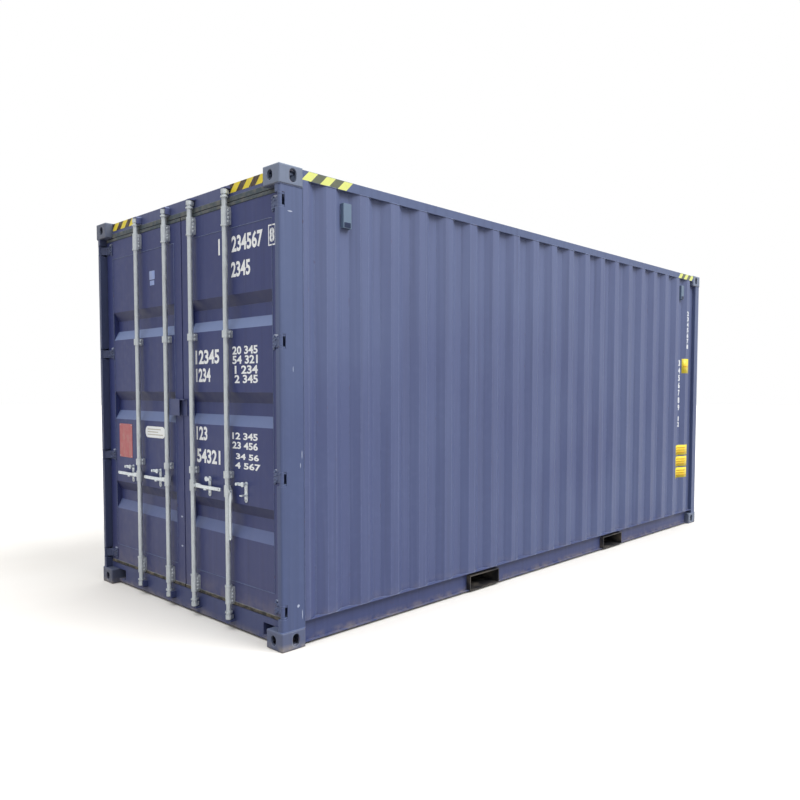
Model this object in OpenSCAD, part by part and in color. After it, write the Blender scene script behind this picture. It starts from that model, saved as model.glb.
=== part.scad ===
// Twenty-foot high-cube freight container with two hinged doors at one end.
// Origin: centre of the base on the ground. +X right side, -Y door end, +Y closed end, +Z up.

/* [Overall size] */
// Length over the corner castings
overall_length = 6058; // [5600:1:6400]
// Width over the corner castings
overall_width = 2438; // [2400:1:2500]
// Height over the corner castings
overall_height = 2896; // [2860:1:2960]
// Set-back of the walls and posts from the faces of the castings
face_setback = 6; // [4:0.5:10]
// Height of the base structure above the ground
base_lift = 15; // [11:0.5:17]
// Drop of the roof below the top faces of the castings
roof_drop = 6; // [4:0.5:8]

/* [Corner castings] */
// Length of a casting along the container
casting_length = 178; // [170:1:190]
// Width of a casting across the container
casting_width = 162; // [156:1:172]
// Height of a casting
casting_height = 118; // [114:1:124]
// Thickness of the wall with the long slot
casting_slot_wall = 28; // [22:1:30]
// Thickness of the two outer upright walls
casting_outer_wall = 16; // [12:1:20]
// Thickness of the walls that are welded to the frame
casting_inner_wall = 10; // [6:1:12]
// Radius of the rounded edges
casting_edge_radius = 9; // [4:1:12]
// Length of the twistlock slot
slot_length = 124.5; // [110:0.5:130]
// Width of the twistlock slot
slot_width = 63.5; // [55:0.5:70]
// Width of the side and end holes
lashing_hole_width = 51; // [44:0.5:56]
// Height of the hole in the side face
side_hole_height = 79.5; // [70:0.5:82]
// Height of the hole in the end face
end_hole_height = 63.5; // [55:0.5:70]
// Height of the hole centres from the slotted face
hole_level = 58; // [54:0.5:62]
// Distance of a slot's centre from the casting's end face
slot_from_end = 102.5; // [98.5:0.5:106.5]
// Distance of a slot's centre from the casting's side face
slot_from_side = 89.5; // [85.5:0.5:93.5]

/* [Posts and rails] */
// Depth of a rear post across the container
rear_post_depth = 43; // [40:1:48]
// Length of a rear post's pressed outer plate along the side
rear_post_length = 172; // [164:1:180]
// Thickness of the pressed outer plates of the posts
post_plate = 6; // [4:0.5:8]
// Outside radius of the rear posts' pressed corner
post_corner_radius = 14; // [10:0.5:14]
// Length of the rolled channel inside a rear post
post_channel_length = 113; // [100:1:125]
// Thickness of the rolled channel inside a rear post
post_channel_wall = 12; // [8:0.5:14]
// Length of a front post's side leg
front_post_side = 93; // [85:1:110]
// Width of a front post's end leg
front_post_end = 103; // [90:1:120]
// Height of the bottom side rails
bottom_rail_height = 145; // [140:1:160]
// Width of the bottom side rails' upper flange
bottom_rail_flange = 48; // [40:1:60]
// Width of the bottom side rails' lower flange
bottom_rail_foot = 30; // [20:1:40]
// Thickness of the bottom side rails
bottom_rail_wall = 4.5; // [3:0.5:8]
// Width and height of the square top rails
top_rail_size = 60; // [50:1:70]
// Wall of the square top rails
top_rail_wall = 3; // [2:0.5:6]

/* [Side walls] */
// Thickness of the pressed side sheets
side_sheet = 2; // [1.6:0.2:3]
// Spacing of the corrugations along the side
side_pitch = 282; // [260:1:300]
// Width of an outer face of the corrugation
side_outer_flat = 72; // [60:1:90]
// Length of a slope of the corrugation, measured along the side
side_slope = 68; // [50:1:75]
// Depth of the corrugation
side_depth = 36; // [28:1:40]
// Distance from the door end to the first outer face
side_start = 364; // [350:1:380]
// Flat sheet left beside the rear post
side_margin = 41; // [30:1:50]

/* [Front wall and roof] */
// Thickness of the front wall's sheet
front_sheet = 2; // [1.6:0.2:3]
// Spacing of the front wall's corrugations
front_pitch = 250; // [230:1:270]
// Width of an outer face of the front wall's corrugation
front_outer_flat = 110; // [90:1:120]
// Length of a slope of the front wall's corrugation
front_slope = 18; // [12:1:30]
// Depth of the front wall's corrugation
front_depth = 45; // [30:1:50]
// Thickness of the roof sheet
roof_sheet = 2; // [1.6:0.2:3]
// Spacing of the roof's pressed troughs
roof_pitch = 209; // [190:1:230]
// Width of a trough at the top
roof_trough = 118; // [90:1:130]
// Length of a trough's slopes
roof_slope = 13; // [10:1:25]
// Depth of the troughs
roof_depth = 20; // [12:1:24]
// Plain border of the roof at its long edges
roof_border = 130; // [100:1:180]
// Distance of the roof sheet's edges from the outer faces of the rails
roof_inset = 26; // [20:1:40]
// Thickness of the corner plates on the roof
corner_plate = 3; // [2:0.5:3.5]
// Reach of the corner plates across the roof from the castings
corner_plate_reach = 200; // [120:1:285]
// Reach of the corner plates along the roof from the castings
corner_plate_length = 70; // [40:1:120]
// Lap of the corner plates beside the castings
corner_plate_lap = 85; // [60:1:100]

/* [Base] */
// Thickness of the floor boards
floor_board = 28; // [24:1:30]
// Number of floor panels along the container
floor_panels = 5; // [3:1:8]
// Gap between floor panels
floor_joint = 2; // [1:0.5:5]
// Height of the cross members
member_height = 122; // [110:1:122]
// Width of a cross member's flanges
member_flange = 45; // [35:1:50]
// Thickness of the cross members
member_wall = 4; // [3:0.5:6]
// Spaces between cross members on the outer side of each fork pocket
end_bays = 5; // [4:1:6]
// Spaces between cross members between the fork pockets
middle_bays = 6; // [5:1:7]
// Distance between the centres of the fork pockets
fork_spacing = 2080; // [2000:1:2150]
// Inside length of a fork pocket along the side
fork_length = 360; // [340:1:370]
// Inside height of a fork pocket
fork_height = 105; // [100:1:110]
// Thickness of the fork pockets' plates
fork_plate = 6; // [4:0.5:8]
// Reach of the bottom straps of a fork pocket from the side
fork_strap = 260; // [200:1:300]

/* [Door opening] */
// Depth of the header and sill behind the castings' end faces
gear_recess = 62; // [60:1:66]
// Depth of the header along the container
header_depth = 78; // [70:1:90]
// Wall of the header and sill sections
header_wall = 4; // [3:0.5:6]
// Depth of the sill along the container
sill_depth = 82; // [75:1:95]
// Width of the notches at the ends of the sill
sill_notch_width = 117; // [100:1:125]
// Height of the lower lip under the notches
sill_notch_lip = 22; // [12:1:30]

/* [Door leaves] */
// Clearance between a leaf and the post beside it
leaf_gap = 5; // [5:0.5:8]
// Half of the gap between the two leaves
centre_gap = 6; // [6:0.5:10]
// Clearance between a leaf and the sill
leaf_bottom_gap = 10; // [8:1:16]
// Clearance between a leaf and the header
leaf_top_gap = 16; // [10:1:20]
// Thickness of a leaf's frame
leaf_depth = 50; // [40:1:60]
// Width of the upright members of a leaf
stile_width = 100; // [80:1:110]
// Height of the top and bottom members of a leaf
leaf_rail_height = 150; // [120:1:160]
// Wall of the leaf's members
leaf_wall = 3; // [2:0.5:5]
// Thickness of the leaf's pressed panel
panel_sheet = 2; // [1.6:0.2:3]
// Height of each pressed groove in the panel
groove_height = 220; // [180:1:240]
// Height of a groove's slopes
groove_slope = 70; // [50:1:80]
// Depth of the pressed grooves
groove_depth = 38; // [30:1:44]
// Distance of the upper groove's centre below the castings' tops
groove_top_drop = 818; // [750:1:900]
// Height of the middle groove's centre
groove_level_middle = 1451; // [1400:1:1500]
// Height of the lower groove's centre
groove_level_bottom = 729; // [700:1:760]
// Width of the rubber door seal along the leaf's depth
seal_width = 20; // [14:1:28]
// Running clearance of the seal
seal_clearance = 0.5; // [0.3:0.1:1]
// Half of the gap between the two seals
seal_centre_gap = 4; // [3:0.5:5.5]

/* [Hinges] */
// Distance of the hinge pins from the castings' outer faces
pin_inset = 20; // [20:0.5:22]
// Diameter of the hinge pins
pin_diameter = 16; // [12:1:18]
// Clearance round the hinge pins
pin_clearance = 0.3; // [0.2:0.05:0.5]
// Outer radius of the eye on a hinge blade
eye_radius = 13; // [12:0.5:13.5]
// Thickness of a hinge blade
blade_thickness = 10; // [8:1:12]
// Height of a hinge blade
blade_height = 60; // [50:1:80]
// Length of a hinge blade on the leaf
blade_length = 76; // [60:1:95]
// Thickness of the lugs on the post
lug_thickness = 13; // [10:1:16]
// Vertical play between a blade and its lugs
lug_play = 0.5; // [0.3:0.1:2]
// Height of the lowest hinge
hinge_level_1 = 240; // [230:1:300]
// Height of the second hinge
hinge_level_2 = 1045; // [900:1:1200]
// Distance of the third hinge below the castings' tops
hinge_drop_3 = 1034; // [900:1:1200]
// Distance of the top hinge below the castings' tops
hinge_drop_4 = 208; // [196:1:300]

/* [Locking gear] */
// Diameter of the lock rods
rod_diameter = 34; // [30:1:36]
// Wall of the lock rods
rod_wall = 3.5; // [2.5:0.5:5]
// Distance of the rods' axes from the castings' end faces
rod_recess = 27; // [26:0.5:28]
// Distance of the inner rods from the centre
rod_inner = 175; // [165:1:200]
// Distance of the outer rods from the centre
rod_outer = 605; // [560:1:640]
// Height of the rods' lower ends
rod_bottom = 72; // [60:1:80]
// Distance of the rods' upper ends below the castings' top faces
rod_top_drop = 42; // [38:1:60]
// Height of the cams
cam_height = 28; // [20:1:32]
// Reach of a cam's nose from the rod's axis
cam_reach = 28; // [24:0.5:28]
// Width of a cam's nose
cam_width = 20; // [14:1:24]
// Radius of a cam's boss
cam_boss = 22; // [20:0.5:24]
// Free space beside the cam in a keeper
keeper_clearance = 5; // [5:0.5:8]
// Thickness of the keepers' hooks
keeper_plate = 10; // [8:1:14]
// Height of a keeper
keeper_height = 52; // [48:1:80]
// Reach of a keeper out of the header or sill
keeper_reach = 42; // [36:1:44]
// Outer radius of the middle rod bearings
bearing_radius = 25; // [23:0.5:25]
// Outer radius of the long bearings at the rods' ends
sleeve_radius = 22; // [21:0.5:24]
// Clearance round the rods in their bearings
bearing_clearance = 0.3; // [0.2:0.05:0.5]
// Thickness of the bearing plates
bearing_plate = 6; // [4:0.5:8]
// Height of the middle bearings
bearing_height = 46; // [36:1:56]
// Height of the long bearings at the rods' ends
sleeve_height = 112; // [90:1:116]
// Reach of the end bearings' plates towards the left
sleeve_foot = 52; // [46:1:90]
// Reach of the middle bearings' plates towards the left
bearing_foot = 42; // [38:1:70]
// Radius of the corners of the gear's plates
plate_corner = 6; // [3:1:8]
// Distance of the end bearings from the leaf's lower edge
bearing_bottom_rise = 60; // [60:1:80]
// Distance of the end bearings from the leaf's upper edge
bearing_top_drop = 74; // [60:1:90]
// Radius of the collars on a rod, beside its end bearings and its cams
collar_radius = 25; // [23:0.5:25]
// Height of the collars
collar_height = 10; // [6:1:14]
// Play between a collar and its bearing
collar_play = 1; // [0.5:0.5:3]
// Distance between a cam and the ring beside it
cam_ring_gap = 14; // [11:1:18]
// Distance of the upper middle bearings below the castings' tops
bearing_drop_upper = 961; // [900:1:1000]
// Height of the lower middle bearings
bearing_level_lower = 1025; // [1010:1:1080]

/* [Handles] */
// Height of the handles' pivots
handle_level = 918; // [880:1:930]
// Distance of a handle's pivot from the rod's axis
handle_pivot_offset = 30; // [30:0.5:34]
// Length of a handle from its pivot
handle_length = 320; // [280:1:340]
// Height of a handle's bar
handle_height = 22; // [18:1:24]
// Thickness of a handle's bar
handle_thickness = 10; // [8:1:12]
// Diameter of the handle pivots
handle_pin = 10; // [8:1:12]
// Outer radius of the hub on a rod
hub_radius = 23; // [22:0.5:24]
// Height of the hub on a rod
hub_height = 76; // [60:1:90]
// Height of the hub's ears beside the rod
ear_height = 68; // [40:1:76]
// Thickness of the hub's ears
ear_thickness = 6; // [4:0.5:7]
// Rise of a handle's broad root above the pivot
root_rise = 18; // [14:1:20]
// Distance from the pivot to the start of the broad root
root_start = 14; // [14:1:20]
// Distance from the pivot to the end of the broad root
root_end = 80; // [60:1:100]
// Play between a handle and the ears
ear_play = 0.3; // [0.2:0.1:0.5]
// Distance of a handle catch from the rod's axis
catch_offset = 165; // [160:1:180]
// Width of a handle catch's plate and tray
catch_width = 30; // [28:1:40]
// Thickness of a handle catch's tray
catch_tray = 8; // [6:1:9]
// Depth of a handle catch's lashing eye below the handle's pivot
catch_eye_drop = 48; // [44:1:56]
// Diameter of the lashing eye's hole
catch_eye = 14; // [8:1:16]
// Height of the latch pivot above the handle's pivot
latch_rise = 56; // [54:1:64]
// Length of a latch from its pivot
latch_length = 52; // [40:1:60]
// Thickness of a latch
latch_thickness = 6; // [5:1:8]
// Reach of a latch's knob in front of the latch
knob_reach = 12; // [6:1:16]

/* [Ventilators] */
// Width of a ventilator hood
vent_width = 66; // [56:1:68]
// Height of a ventilator hood
vent_height = 155; // [120:1:180]
// Depth of a ventilator hood
vent_depth = 30; // [20:1:34]
// Thickness of a ventilator hood
vent_wall = 2; // [1:0.5:4]
// Distance of a ventilator hood's top edge below the castings' tops
vent_drop = 141; // [120:1:240]

/* [Customs plate] */
// Reach of the plate over the left leaf
customs_left = 194; // [150:1:220]
// Reach of the plate over the right leaf
customs_right = 54; // [40:1:70]
// Height of the plate
customs_height = 117; // [100:1:150]
// Height of the plate's lower edge
customs_level = 1393; // [1350:1:1400]
// Thickness of the plate
customs_plate = 6; // [3:0.5:8]
// Depth of the box in front of the plate
customs_depth = 30; // [20:1:34]
// Length of the box on the left leaf
customs_box = 142; // [120:1:146]

/* [Hidden] */

$fn = 48;
eps = 1;

half_w = overall_width / 2;
half_l = overall_length / 2;
side_plane = half_w - face_setback;
end_plane = half_l - face_setback;
top_z = overall_height - roof_drop;
frame_top = top_z - roof_sheet;
rail_top = base_lift + bottom_rail_height;
wall_top = frame_top - top_rail_size;
casting_inner_x = half_w - casting_width;
casting_inner_y = half_l - casting_length;
casting_under = overall_height - casting_height;
opening_half = side_plane - rear_post_depth;
gear_face = half_l - gear_recess;
leaf_out = opening_half - leaf_gap;
leaf_bottom = rail_top + leaf_bottom_gap;
leaf_top = casting_under - leaf_top_gap;
leaf_back = gear_face - leaf_depth;
web_x = side_plane - bottom_rail_flange;
floor_z = base_lift + member_height;
vent_top = overall_height - vent_drop;
fork_out = fork_length + 2 * fork_plate;
pin_x = half_w - pin_inset;
pin_y = half_l - pin_inset;
pin_radius = pin_diameter / 2;
notch_height = blade_height + 2 * lug_play + 2 * lug_thickness;
notch_side_y = 2 * eye_radius;
notch_door_y = pin_y - gear_face + bearing_plate / 2;
hinge_levels = [hinge_level_1, hinge_level_2, overall_height - hinge_drop_3,
    overall_height - hinge_drop_4];
rod_y = -(half_l - rod_recess);
rod_radius = rod_diameter / 2;
rod_top = overall_height - rod_top_drop;
rod_places = [-rod_outer, -rod_inner, rod_inner, rod_outer];
cam_low_z = rod_bottom;
cam_high_z = rod_top - cam_height;
keeper_half = cam_boss + keeper_clearance;
panel_bottom = leaf_bottom + leaf_rail_height;
panel_top = leaf_top - leaf_rail_height;
hinge_stile_x = leaf_out - stile_width;
free_stile_x = centre_gap + stile_width;
handle_radius = handle_height / 2;
latch_z = handle_level + latch_rise;
groove_levels = [groove_level_bottom, groove_level_middle, overall_height - groove_top_drop];
bearing_levels = [leaf_bottom + bearing_bottom_rise, bearing_level_lower,
    overall_height - bearing_drop_upper, leaf_top - bearing_top_drop];
handle_sides = [-1, -1, 1, 1];
latch_sides = [-1, -1, 1, -1];

// Corners of a pressed recess in a sheet: position, depth, and the way its inner corners shift.
function recess_corners(centre, width, slope, depth) = [
    [centre - width / 2, 0, -1],
    [centre - width / 2 + slope, depth, -1],
    [centre + width / 2 - slope, depth, 1],
    [centre + width / 2, 0, 1]];

// Section of a pressed sheet of even thickness between two ends, as [position, depth] points.
function sheet_section(from, to, corners, slope, depth, sheet) =
    let (shift = sheet * tan(atan(depth / slope) / 2), n = len(corners))
    concat(
        [[from, 0]],
        [for (c = corners) [c[0], c[1]]],
        [[to, 0], [to, sheet]],
        [for (i = [n - 1 : -1 : 0]) [corners[i][0] + corners[i][2] * shift, corners[i][1] + sheet]],
        [[from, sheet]]);

// Slot with round ends, its length along the first axis.
module oblong(length, width) {
    square([length - width, width], center = true);
    for (side = [-1, 1]) translate([side * (length - width) / 2, 0]) circle(d = width);
}

// Rectangle with round corners, from the origin into the negative quarter.
module rounded_corner_block(a, b, r) {
    translate([-a, -b + r]) square([a, b - 2 * r]);
    translate([-a + r, -b]) square([a - 2 * r, b]);
    for (x = [-r, -a + r], y = [-r, -b + r]) translate([x, y]) circle(r = r);
}

// One corner casting, its outer bottom corner at the origin and its slot in the bottom face.
module casting() {
    w = casting_width;
    l = casting_length;
    h = casting_height;
    difference() {
        intersection() {
            linear_extrude(h) rounded_corner_block(w, l, casting_edge_radius);
            translate([0, 0, h]) rotate([90, 0, 0]) linear_extrude(l)
                rounded_corner_block(w, h, casting_edge_radius);
            translate([-w, 0, h]) rotate([90, 0, 90]) linear_extrude(w)
                rounded_corner_block(l, h, casting_edge_radius);
        }
        translate([-w + casting_inner_wall, -l + casting_inner_wall, casting_slot_wall])
            cube([w - casting_inner_wall - casting_outer_wall,
                l - casting_inner_wall - casting_outer_wall,
                h - casting_inner_wall - casting_slot_wall]);
        translate([-slot_from_side, -slot_from_end, -eps]) rotate(90)
            linear_extrude(casting_slot_wall + 2 * eps) oblong(slot_length, slot_width);
        translate([-casting_outer_wall - eps, -slot_from_end, hole_level]) rotate([0, 90, 0])
            linear_extrude(casting_outer_wall + 2 * eps) oblong(side_hole_height, lashing_hole_width);
        translate([-slot_from_side, eps, hole_level]) rotate([90, 90, 0])
            linear_extrude(casting_outer_wall + 2 * eps) oblong(end_hole_height, lashing_hole_width);
    }
}

// Puts a piece made for the right front corner at all four corners.
module at_corners() {
    for (mx = [0, 1], my = [0, 1]) mirror([mx, 0, 0]) mirror([0, my, 0]) children();
}

// Puts a piece made for the right side on the left side when side is -1.
module on_side(side) {
    mirror([side < 0 ? 1 : 0, 0, 0]) children();
}

// The space taken by the eight castings.
module casting_blocks() {
    for (z = [0, casting_under]) at_corners()
        translate([casting_inner_x, casting_inner_y, z])
            cube([casting_width + eps, casting_length + eps, casting_height]);
}

// The space taken by the two fork pockets.
module fork_blocks() {
    for (side = [-1, 1])
        translate([-side_plane - eps, side * fork_spacing / 2 - fork_out / 2, base_lift - eps])
            cube([2 * side_plane + 2 * eps, fork_out, fork_height + 2 * fork_plate + eps]);
}

module corner_castings_bottom() {
    color("slategray") at_corners() translate([half_w, half_l, 0]) casting();
}

module corner_castings_top() {
    color("slategray") at_corners() translate([half_w, half_l, overall_height])
        mirror([0, 0, 1]) casting();
}

// Rectangle whose corner away from the origin along +X and at the bottom is round.
module pressed_corner(width, length, r) {
    square([width - r, length]);
    translate([0, r]) square([width, length - r]);
    translate([width - r, r]) circle(r = r);
}

// Pressed outer plate and rolled inner channel of a rear post, with notches for the hinges.
module rear_post(side) {
    h = casting_under - casting_height;
    channel_y = -end_plane + rear_post_length - post_channel_length;
    color("slateblue") on_side(side) difference() {
        translate([0, 0, casting_height]) linear_extrude(h) difference() {
            translate([opening_half, -end_plane])
                pressed_corner(rear_post_depth, rear_post_length, post_corner_radius);
            translate([opening_half + post_plate, -end_plane + post_plate])
                pressed_corner(rear_post_depth - 2 * post_plate, channel_y + end_plane - post_plate,
                    post_corner_radius - post_plate);
            translate([opening_half + post_channel_wall, channel_y + post_channel_wall])
                square([rear_post_depth - post_channel_wall - post_plate,
                    post_channel_length - 2 * post_channel_wall]);
        }
        for (z = hinge_levels) translate([0, -end_plane - eps, z - notch_height / 2]) {
            translate([opening_half - eps, 0, 0])
                cube([rear_post_depth + 2 * eps, end_plane - pin_y + notch_side_y + eps,
                    notch_height]);
            translate([opening_half - eps, 0, 0])
                cube([post_plate + 2 * eps, end_plane - pin_y + notch_door_y + eps, notch_height]);
        }
    }
}

// Pressed front post: side leg, end leg and the return that the side wall meets.
module front_post(side) {
    h = casting_under - casting_height;
    back_y = end_plane - front_post_side;
    color("slateblue") on_side(side) translate([0, 0, casting_height]) linear_extrude(h) {
        translate([side_plane - post_plate, back_y]) square([post_plate, front_post_side]);
        translate([side_plane - front_post_end, end_plane - post_plate])
            square([front_post_end, post_plate]);
        translate([side_plane - side_depth - post_plate, back_y])
            square([side_depth + post_plate, post_plate]);
    }
}

module door_header() {
    h = frame_top - casting_under;
    color("slateblue") difference() {
        translate([-casting_inner_x, -gear_face, casting_under])
            cube([2 * casting_inner_x, header_depth, h]);
        translate([-casting_inner_x + header_wall, -gear_face + header_wall,
                casting_under + header_wall])
            cube([2 * (casting_inner_x - header_wall), header_depth - 2 * header_wall,
                h - 2 * header_wall]);
    }
}

// Sill between the posts, hollow, with a notch beside each casting for lifting gear.
module door_sill() {
    hollow_x = casting_inner_x - sill_notch_width - 2 * header_wall;
    color("slateblue") difference() {
        translate([-opening_half, -gear_face, base_lift])
            cube([2 * opening_half, sill_depth, bottom_rail_height]);
        casting_blocks();
        translate([-hollow_x, -gear_face + header_wall, base_lift + header_wall])
            cube([2 * hollow_x, sill_depth - 2 * header_wall, bottom_rail_height - 2 * header_wall]);
        for (side = [-1, 1]) on_side(side)
            translate([casting_inner_x - sill_notch_width, -gear_face - eps,
                    base_lift + sill_notch_lip])
                cube([sill_notch_width + eps, sill_depth + 2 * eps,
                    casting_height - base_lift - sill_notch_lip]);
    }
}

module front_top_rail() {
    color("slateblue") translate([-casting_inner_x, end_plane - top_rail_size, wall_top])
        difference() {
            cube([2 * casting_inner_x, top_rail_size, top_rail_size]);
            translate([-eps, top_rail_wall, top_rail_wall])
                cube([2 * casting_inner_x + 2 * eps, top_rail_size - 2 * top_rail_wall,
                    top_rail_size - 2 * top_rail_wall]);
        }
}

// Channel under the front wall, open to the inside.
module front_bottom_sill() {
    half = side_plane - front_post_end;
    color("slateblue") difference() {
        translate([-half, end_plane - top_rail_size, base_lift])
            cube([2 * half, top_rail_size, bottom_rail_height]);
        casting_blocks();
        translate([-half - eps, end_plane - top_rail_size - eps, base_lift + bottom_rail_wall])
            cube([2 * half + 2 * eps, top_rail_size - bottom_rail_wall + eps,
                bottom_rail_height - 2 * bottom_rail_wall]);
    }
}

module top_side_rail(side) {
    color("slateblue") on_side(side)
        translate([side_plane - top_rail_size, -casting_inner_y, wall_top]) difference() {
            cube([top_rail_size, 2 * casting_inner_y, top_rail_size]);
            translate([top_rail_wall, -eps, top_rail_wall])
                cube([top_rail_size - 2 * top_rail_wall, 2 * casting_inner_y + 2 * eps,
                    top_rail_size - 2 * top_rail_wall]);
        }
}

// Channel open to the outside, cut away at the castings and the fork pockets.
module bottom_side_rail(side) {
    front_y = end_plane - front_post_side;
    color("slateblue") on_side(side) difference() {
        translate([0, front_y, 0]) rotate([90, 0, 0]) linear_extrude(front_y + casting_inner_y) {
            translate([web_x, base_lift]) square([bottom_rail_wall, bottom_rail_height]);
            translate([web_x, rail_top - bottom_rail_wall])
                square([bottom_rail_flange, bottom_rail_wall]);
            translate([web_x, base_lift]) square([bottom_rail_foot, bottom_rail_wall]);
        }
        casting_blocks();
        fork_blocks();
    }
}

// Corners of the side wall's recesses, from the rear post to the front post.
function side_corners() =
    let (
        first = -half_l + side_start,
        rear_end = -end_plane + rear_post_length + side_margin,
        front_end = end_plane - front_post_side,
        count = floor((front_end - first - side_outer_flat - side_slope) / side_pitch) + 1,
        last = first + (count - 1) * side_pitch + side_outer_flat)
    concat(
        recess_corners((rear_end + first) / 2, first - rear_end, side_slope, side_depth),
        [for (k = [0 : count - 2])
            each recess_corners(first + k * side_pitch + (side_outer_flat + side_pitch) / 2,
                side_pitch - side_outer_flat, side_slope, side_depth)],
        [[last, 0, -1], [last + side_slope, side_depth, -1]]);

// Side sheet: the pattern ends on an inner flat that meets the front post.
function side_section() =
    let (
        corners = side_corners(),
        n = len(corners),
        shift = side_sheet * tan(atan(side_depth / side_slope) / 2),
        from = -end_plane + rear_post_length,
        to = end_plane - front_post_side)
    concat(
        [[from, 0]],
        [for (c = corners) [c[0], c[1]]],
        [[to, side_depth], [to, side_depth + side_sheet]],
        [for (i = [n - 1 : -1 : 0])
            [corners[i][0] + corners[i][2] * shift, corners[i][1] + side_sheet]],
        [[from, side_sheet]]);

module side_wall(side) {
    color("steelblue") on_side(side) difference() {
        translate([side_plane, 0, rail_top]) rotate(90) linear_extrude(wall_top - rail_top)
            polygon(side_section());
        casting_blocks();
    }
}

// Corrugated front wall, lapped behind the end legs of the front posts.
module front_end_wall() {
    half = casting_inner_x + front_outer_flat / 2;
    count = floor((2 * casting_inner_x - front_outer_flat) / front_pitch / 2);
    corners = [for (k = [-count : count - 1])
        each recess_corners((k + 0.5) * front_pitch, front_pitch - front_outer_flat,
            front_slope, front_depth)];
    color("steelblue") difference() {
        translate([0, end_plane - post_plate, rail_top]) mirror([0, 1, 0])
            linear_extrude(wall_top - rail_top)
                polygon(sheet_section(-half, half, corners, front_slope, front_depth, front_sheet));
        casting_blocks();
    }
}

// Section of the roof's troughs across the pattern, enlarged on every side by grow.
module trough_sections(grow) {
    run = 2 * (casting_inner_y - roof_pitch / 2);
    count = floor(run / roof_pitch);
    for (k = [0 : count - 1]) translate([(k - (count - 1) / 2) * roof_pitch, 0])
        trough_section(roof_trough + 2 * grow, grow);
}

module trough_section(width, grow) {
    polygon([[-width / 2, eps], [-width / 2, 0], [-width / 2 + roof_slope, -roof_depth - grow],
        [width / 2 - roof_slope, -roof_depth - grow], [width / 2, 0], [width / 2, eps]]);
}

module troughs(grow) {
    length = 2 * (side_plane - roof_border);
    intersection() {
        translate([-half_w, 0, 0]) rotate([90, 0, 90]) linear_extrude(2 * half_w)
            trough_sections(grow);
        translate([0, half_l, 0]) rotate([90, 0, 0]) linear_extrude(2 * half_l)
            trough_section(length + 2 * grow, grow);
    }
}

// Roof sheet with pressed cross troughs that stop short of its long edges.
module roof_panel() {
    half = side_plane - roof_inset;
    rear = gear_face - roof_inset;
    front = end_plane - roof_inset;
    color("steelblue") difference() {
        union() {
            translate([-half, -rear, frame_top]) cube([2 * half, rear + front, roof_sheet]);
            intersection() {
                translate([0, 0, top_z]) troughs(roof_sheet);
                translate([-half, -half_l, 0]) cube([2 * half, 2 * half_l, top_z]);
            }
        }
        translate([0, 0, top_z]) troughs(0);
        casting_blocks();
    }
}

module roof_corner_plates() {
    color("slateblue") difference() {
        at_corners() translate([casting_inner_x - corner_plate_reach,
                casting_inner_y - corner_plate_length, top_z])
            cube([corner_plate_reach + corner_plate_lap, corner_plate_length + corner_plate_lap,
                corner_plate]);
        casting_blocks();
    }
}

module floor_boards() {
    from = -gear_face + sill_depth;
    to = end_plane - top_rail_size;
    length = (to - from - (floor_panels - 1) * floor_joint) / floor_panels;
    color("peru") for (k = [0 : floor_panels - 1])
        translate([-web_x, from + k * (length + floor_joint), floor_z])
            cube([2 * web_x, length, floor_board]);
}

// One channel across the base, its web on the door side.
module cross_member() {
    color("dimgray") translate([-web_x, 0, base_lift]) {
        cube([2 * web_x, member_wall, member_height]);
        cube([2 * web_x, member_flange, member_wall]);
        translate([0, 0, member_height - member_wall])
            cube([2 * web_x, member_flange, member_wall]);
    }
}

// Channels evenly spaced between the sill, the fork pockets and the front sill.
module cross_members() {
    fork_y = fork_spacing / 2;
    bays = [
        [-casting_inner_y, -fork_y - fork_out / 2 - member_flange, end_bays],
        [-fork_y + fork_out / 2, fork_y - fork_out / 2 - member_flange, middle_bays],
        [fork_y + fork_out / 2, casting_inner_y - member_flange, end_bays]];
    for (bay = bays, k = [0 : bay[2]])
        translate([0, bay[0] + k * (bay[1] - bay[0]) / bay[2], 0]) cross_member();
}

// Plate tunnels from side to side, with the middle of their bottoms open.
module fork_pockets() {
    reach = side_plane - face_setback;
    color("slateblue") for (side = [-1, 1])
        translate([0, side * fork_spacing / 2, base_lift]) difference() {
            translate([-reach, -fork_out / 2, 0])
                cube([2 * reach, fork_out, fork_height + 2 * fork_plate]);
            translate([-reach - eps, -fork_length / 2, fork_plate])
                cube([2 * reach + 2 * eps, fork_length, fork_height]);
            translate([-reach + fork_strap, -fork_length / 2, -eps])
                cube([2 * (reach - fork_strap), fork_length, fork_plate + 2 * eps]);
        }
}

// Hooked keeper above one cam: a cheek, and a lip beyond the rod's end, open where the nose turns.
module cam_keeper() {
    w = 2 * keeper_half + keeper_plate;
    rotate([90, 0, 0]) linear_extrude(keeper_reach)
        translate([-keeper_half - keeper_plate, keeper_clearance + keeper_plate - keeper_height]) {
            square([keeper_plate, keeper_height - keeper_plate]);
            translate([keeper_plate, keeper_height - keeper_plate])
                square([w - keeper_plate, keeper_plate]);
            translate([keeper_plate, keeper_height - keeper_plate]) intersection() {
                circle(r = keeper_plate);
                translate([-keeper_plate, 0]) square(keeper_plate);
            }
        }
}

module cam_keepers() {
    color("slateblue") for (i = [0 : len(rod_places) - 1])
        translate([rod_places[i], -gear_face, 0]) on_side(handle_sides[i]) {
            translate([0, 0, rod_top]) cam_keeper();
            translate([0, 0, rod_bottom]) mirror([0, 0, 1]) cam_keeper();
        }
}

// Two lugs and the pin of one hinge on the post.
module hinge_lug_pair() {
    for (z = [-notch_height / 2, notch_height / 2 - lug_thickness]) translate([0, 0, z]) {
        linear_extrude(lug_thickness) {
            circle(r = pin_inset - face_setback);
            translate([-(pin_inset - face_setback), 0])
                square([2 * (pin_inset - face_setback) - post_plate / 2, notch_side_y]);
        }
    }
    translate([0, 0, -notch_height / 2]) cylinder(r = pin_radius, h = notch_height);
}

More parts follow.
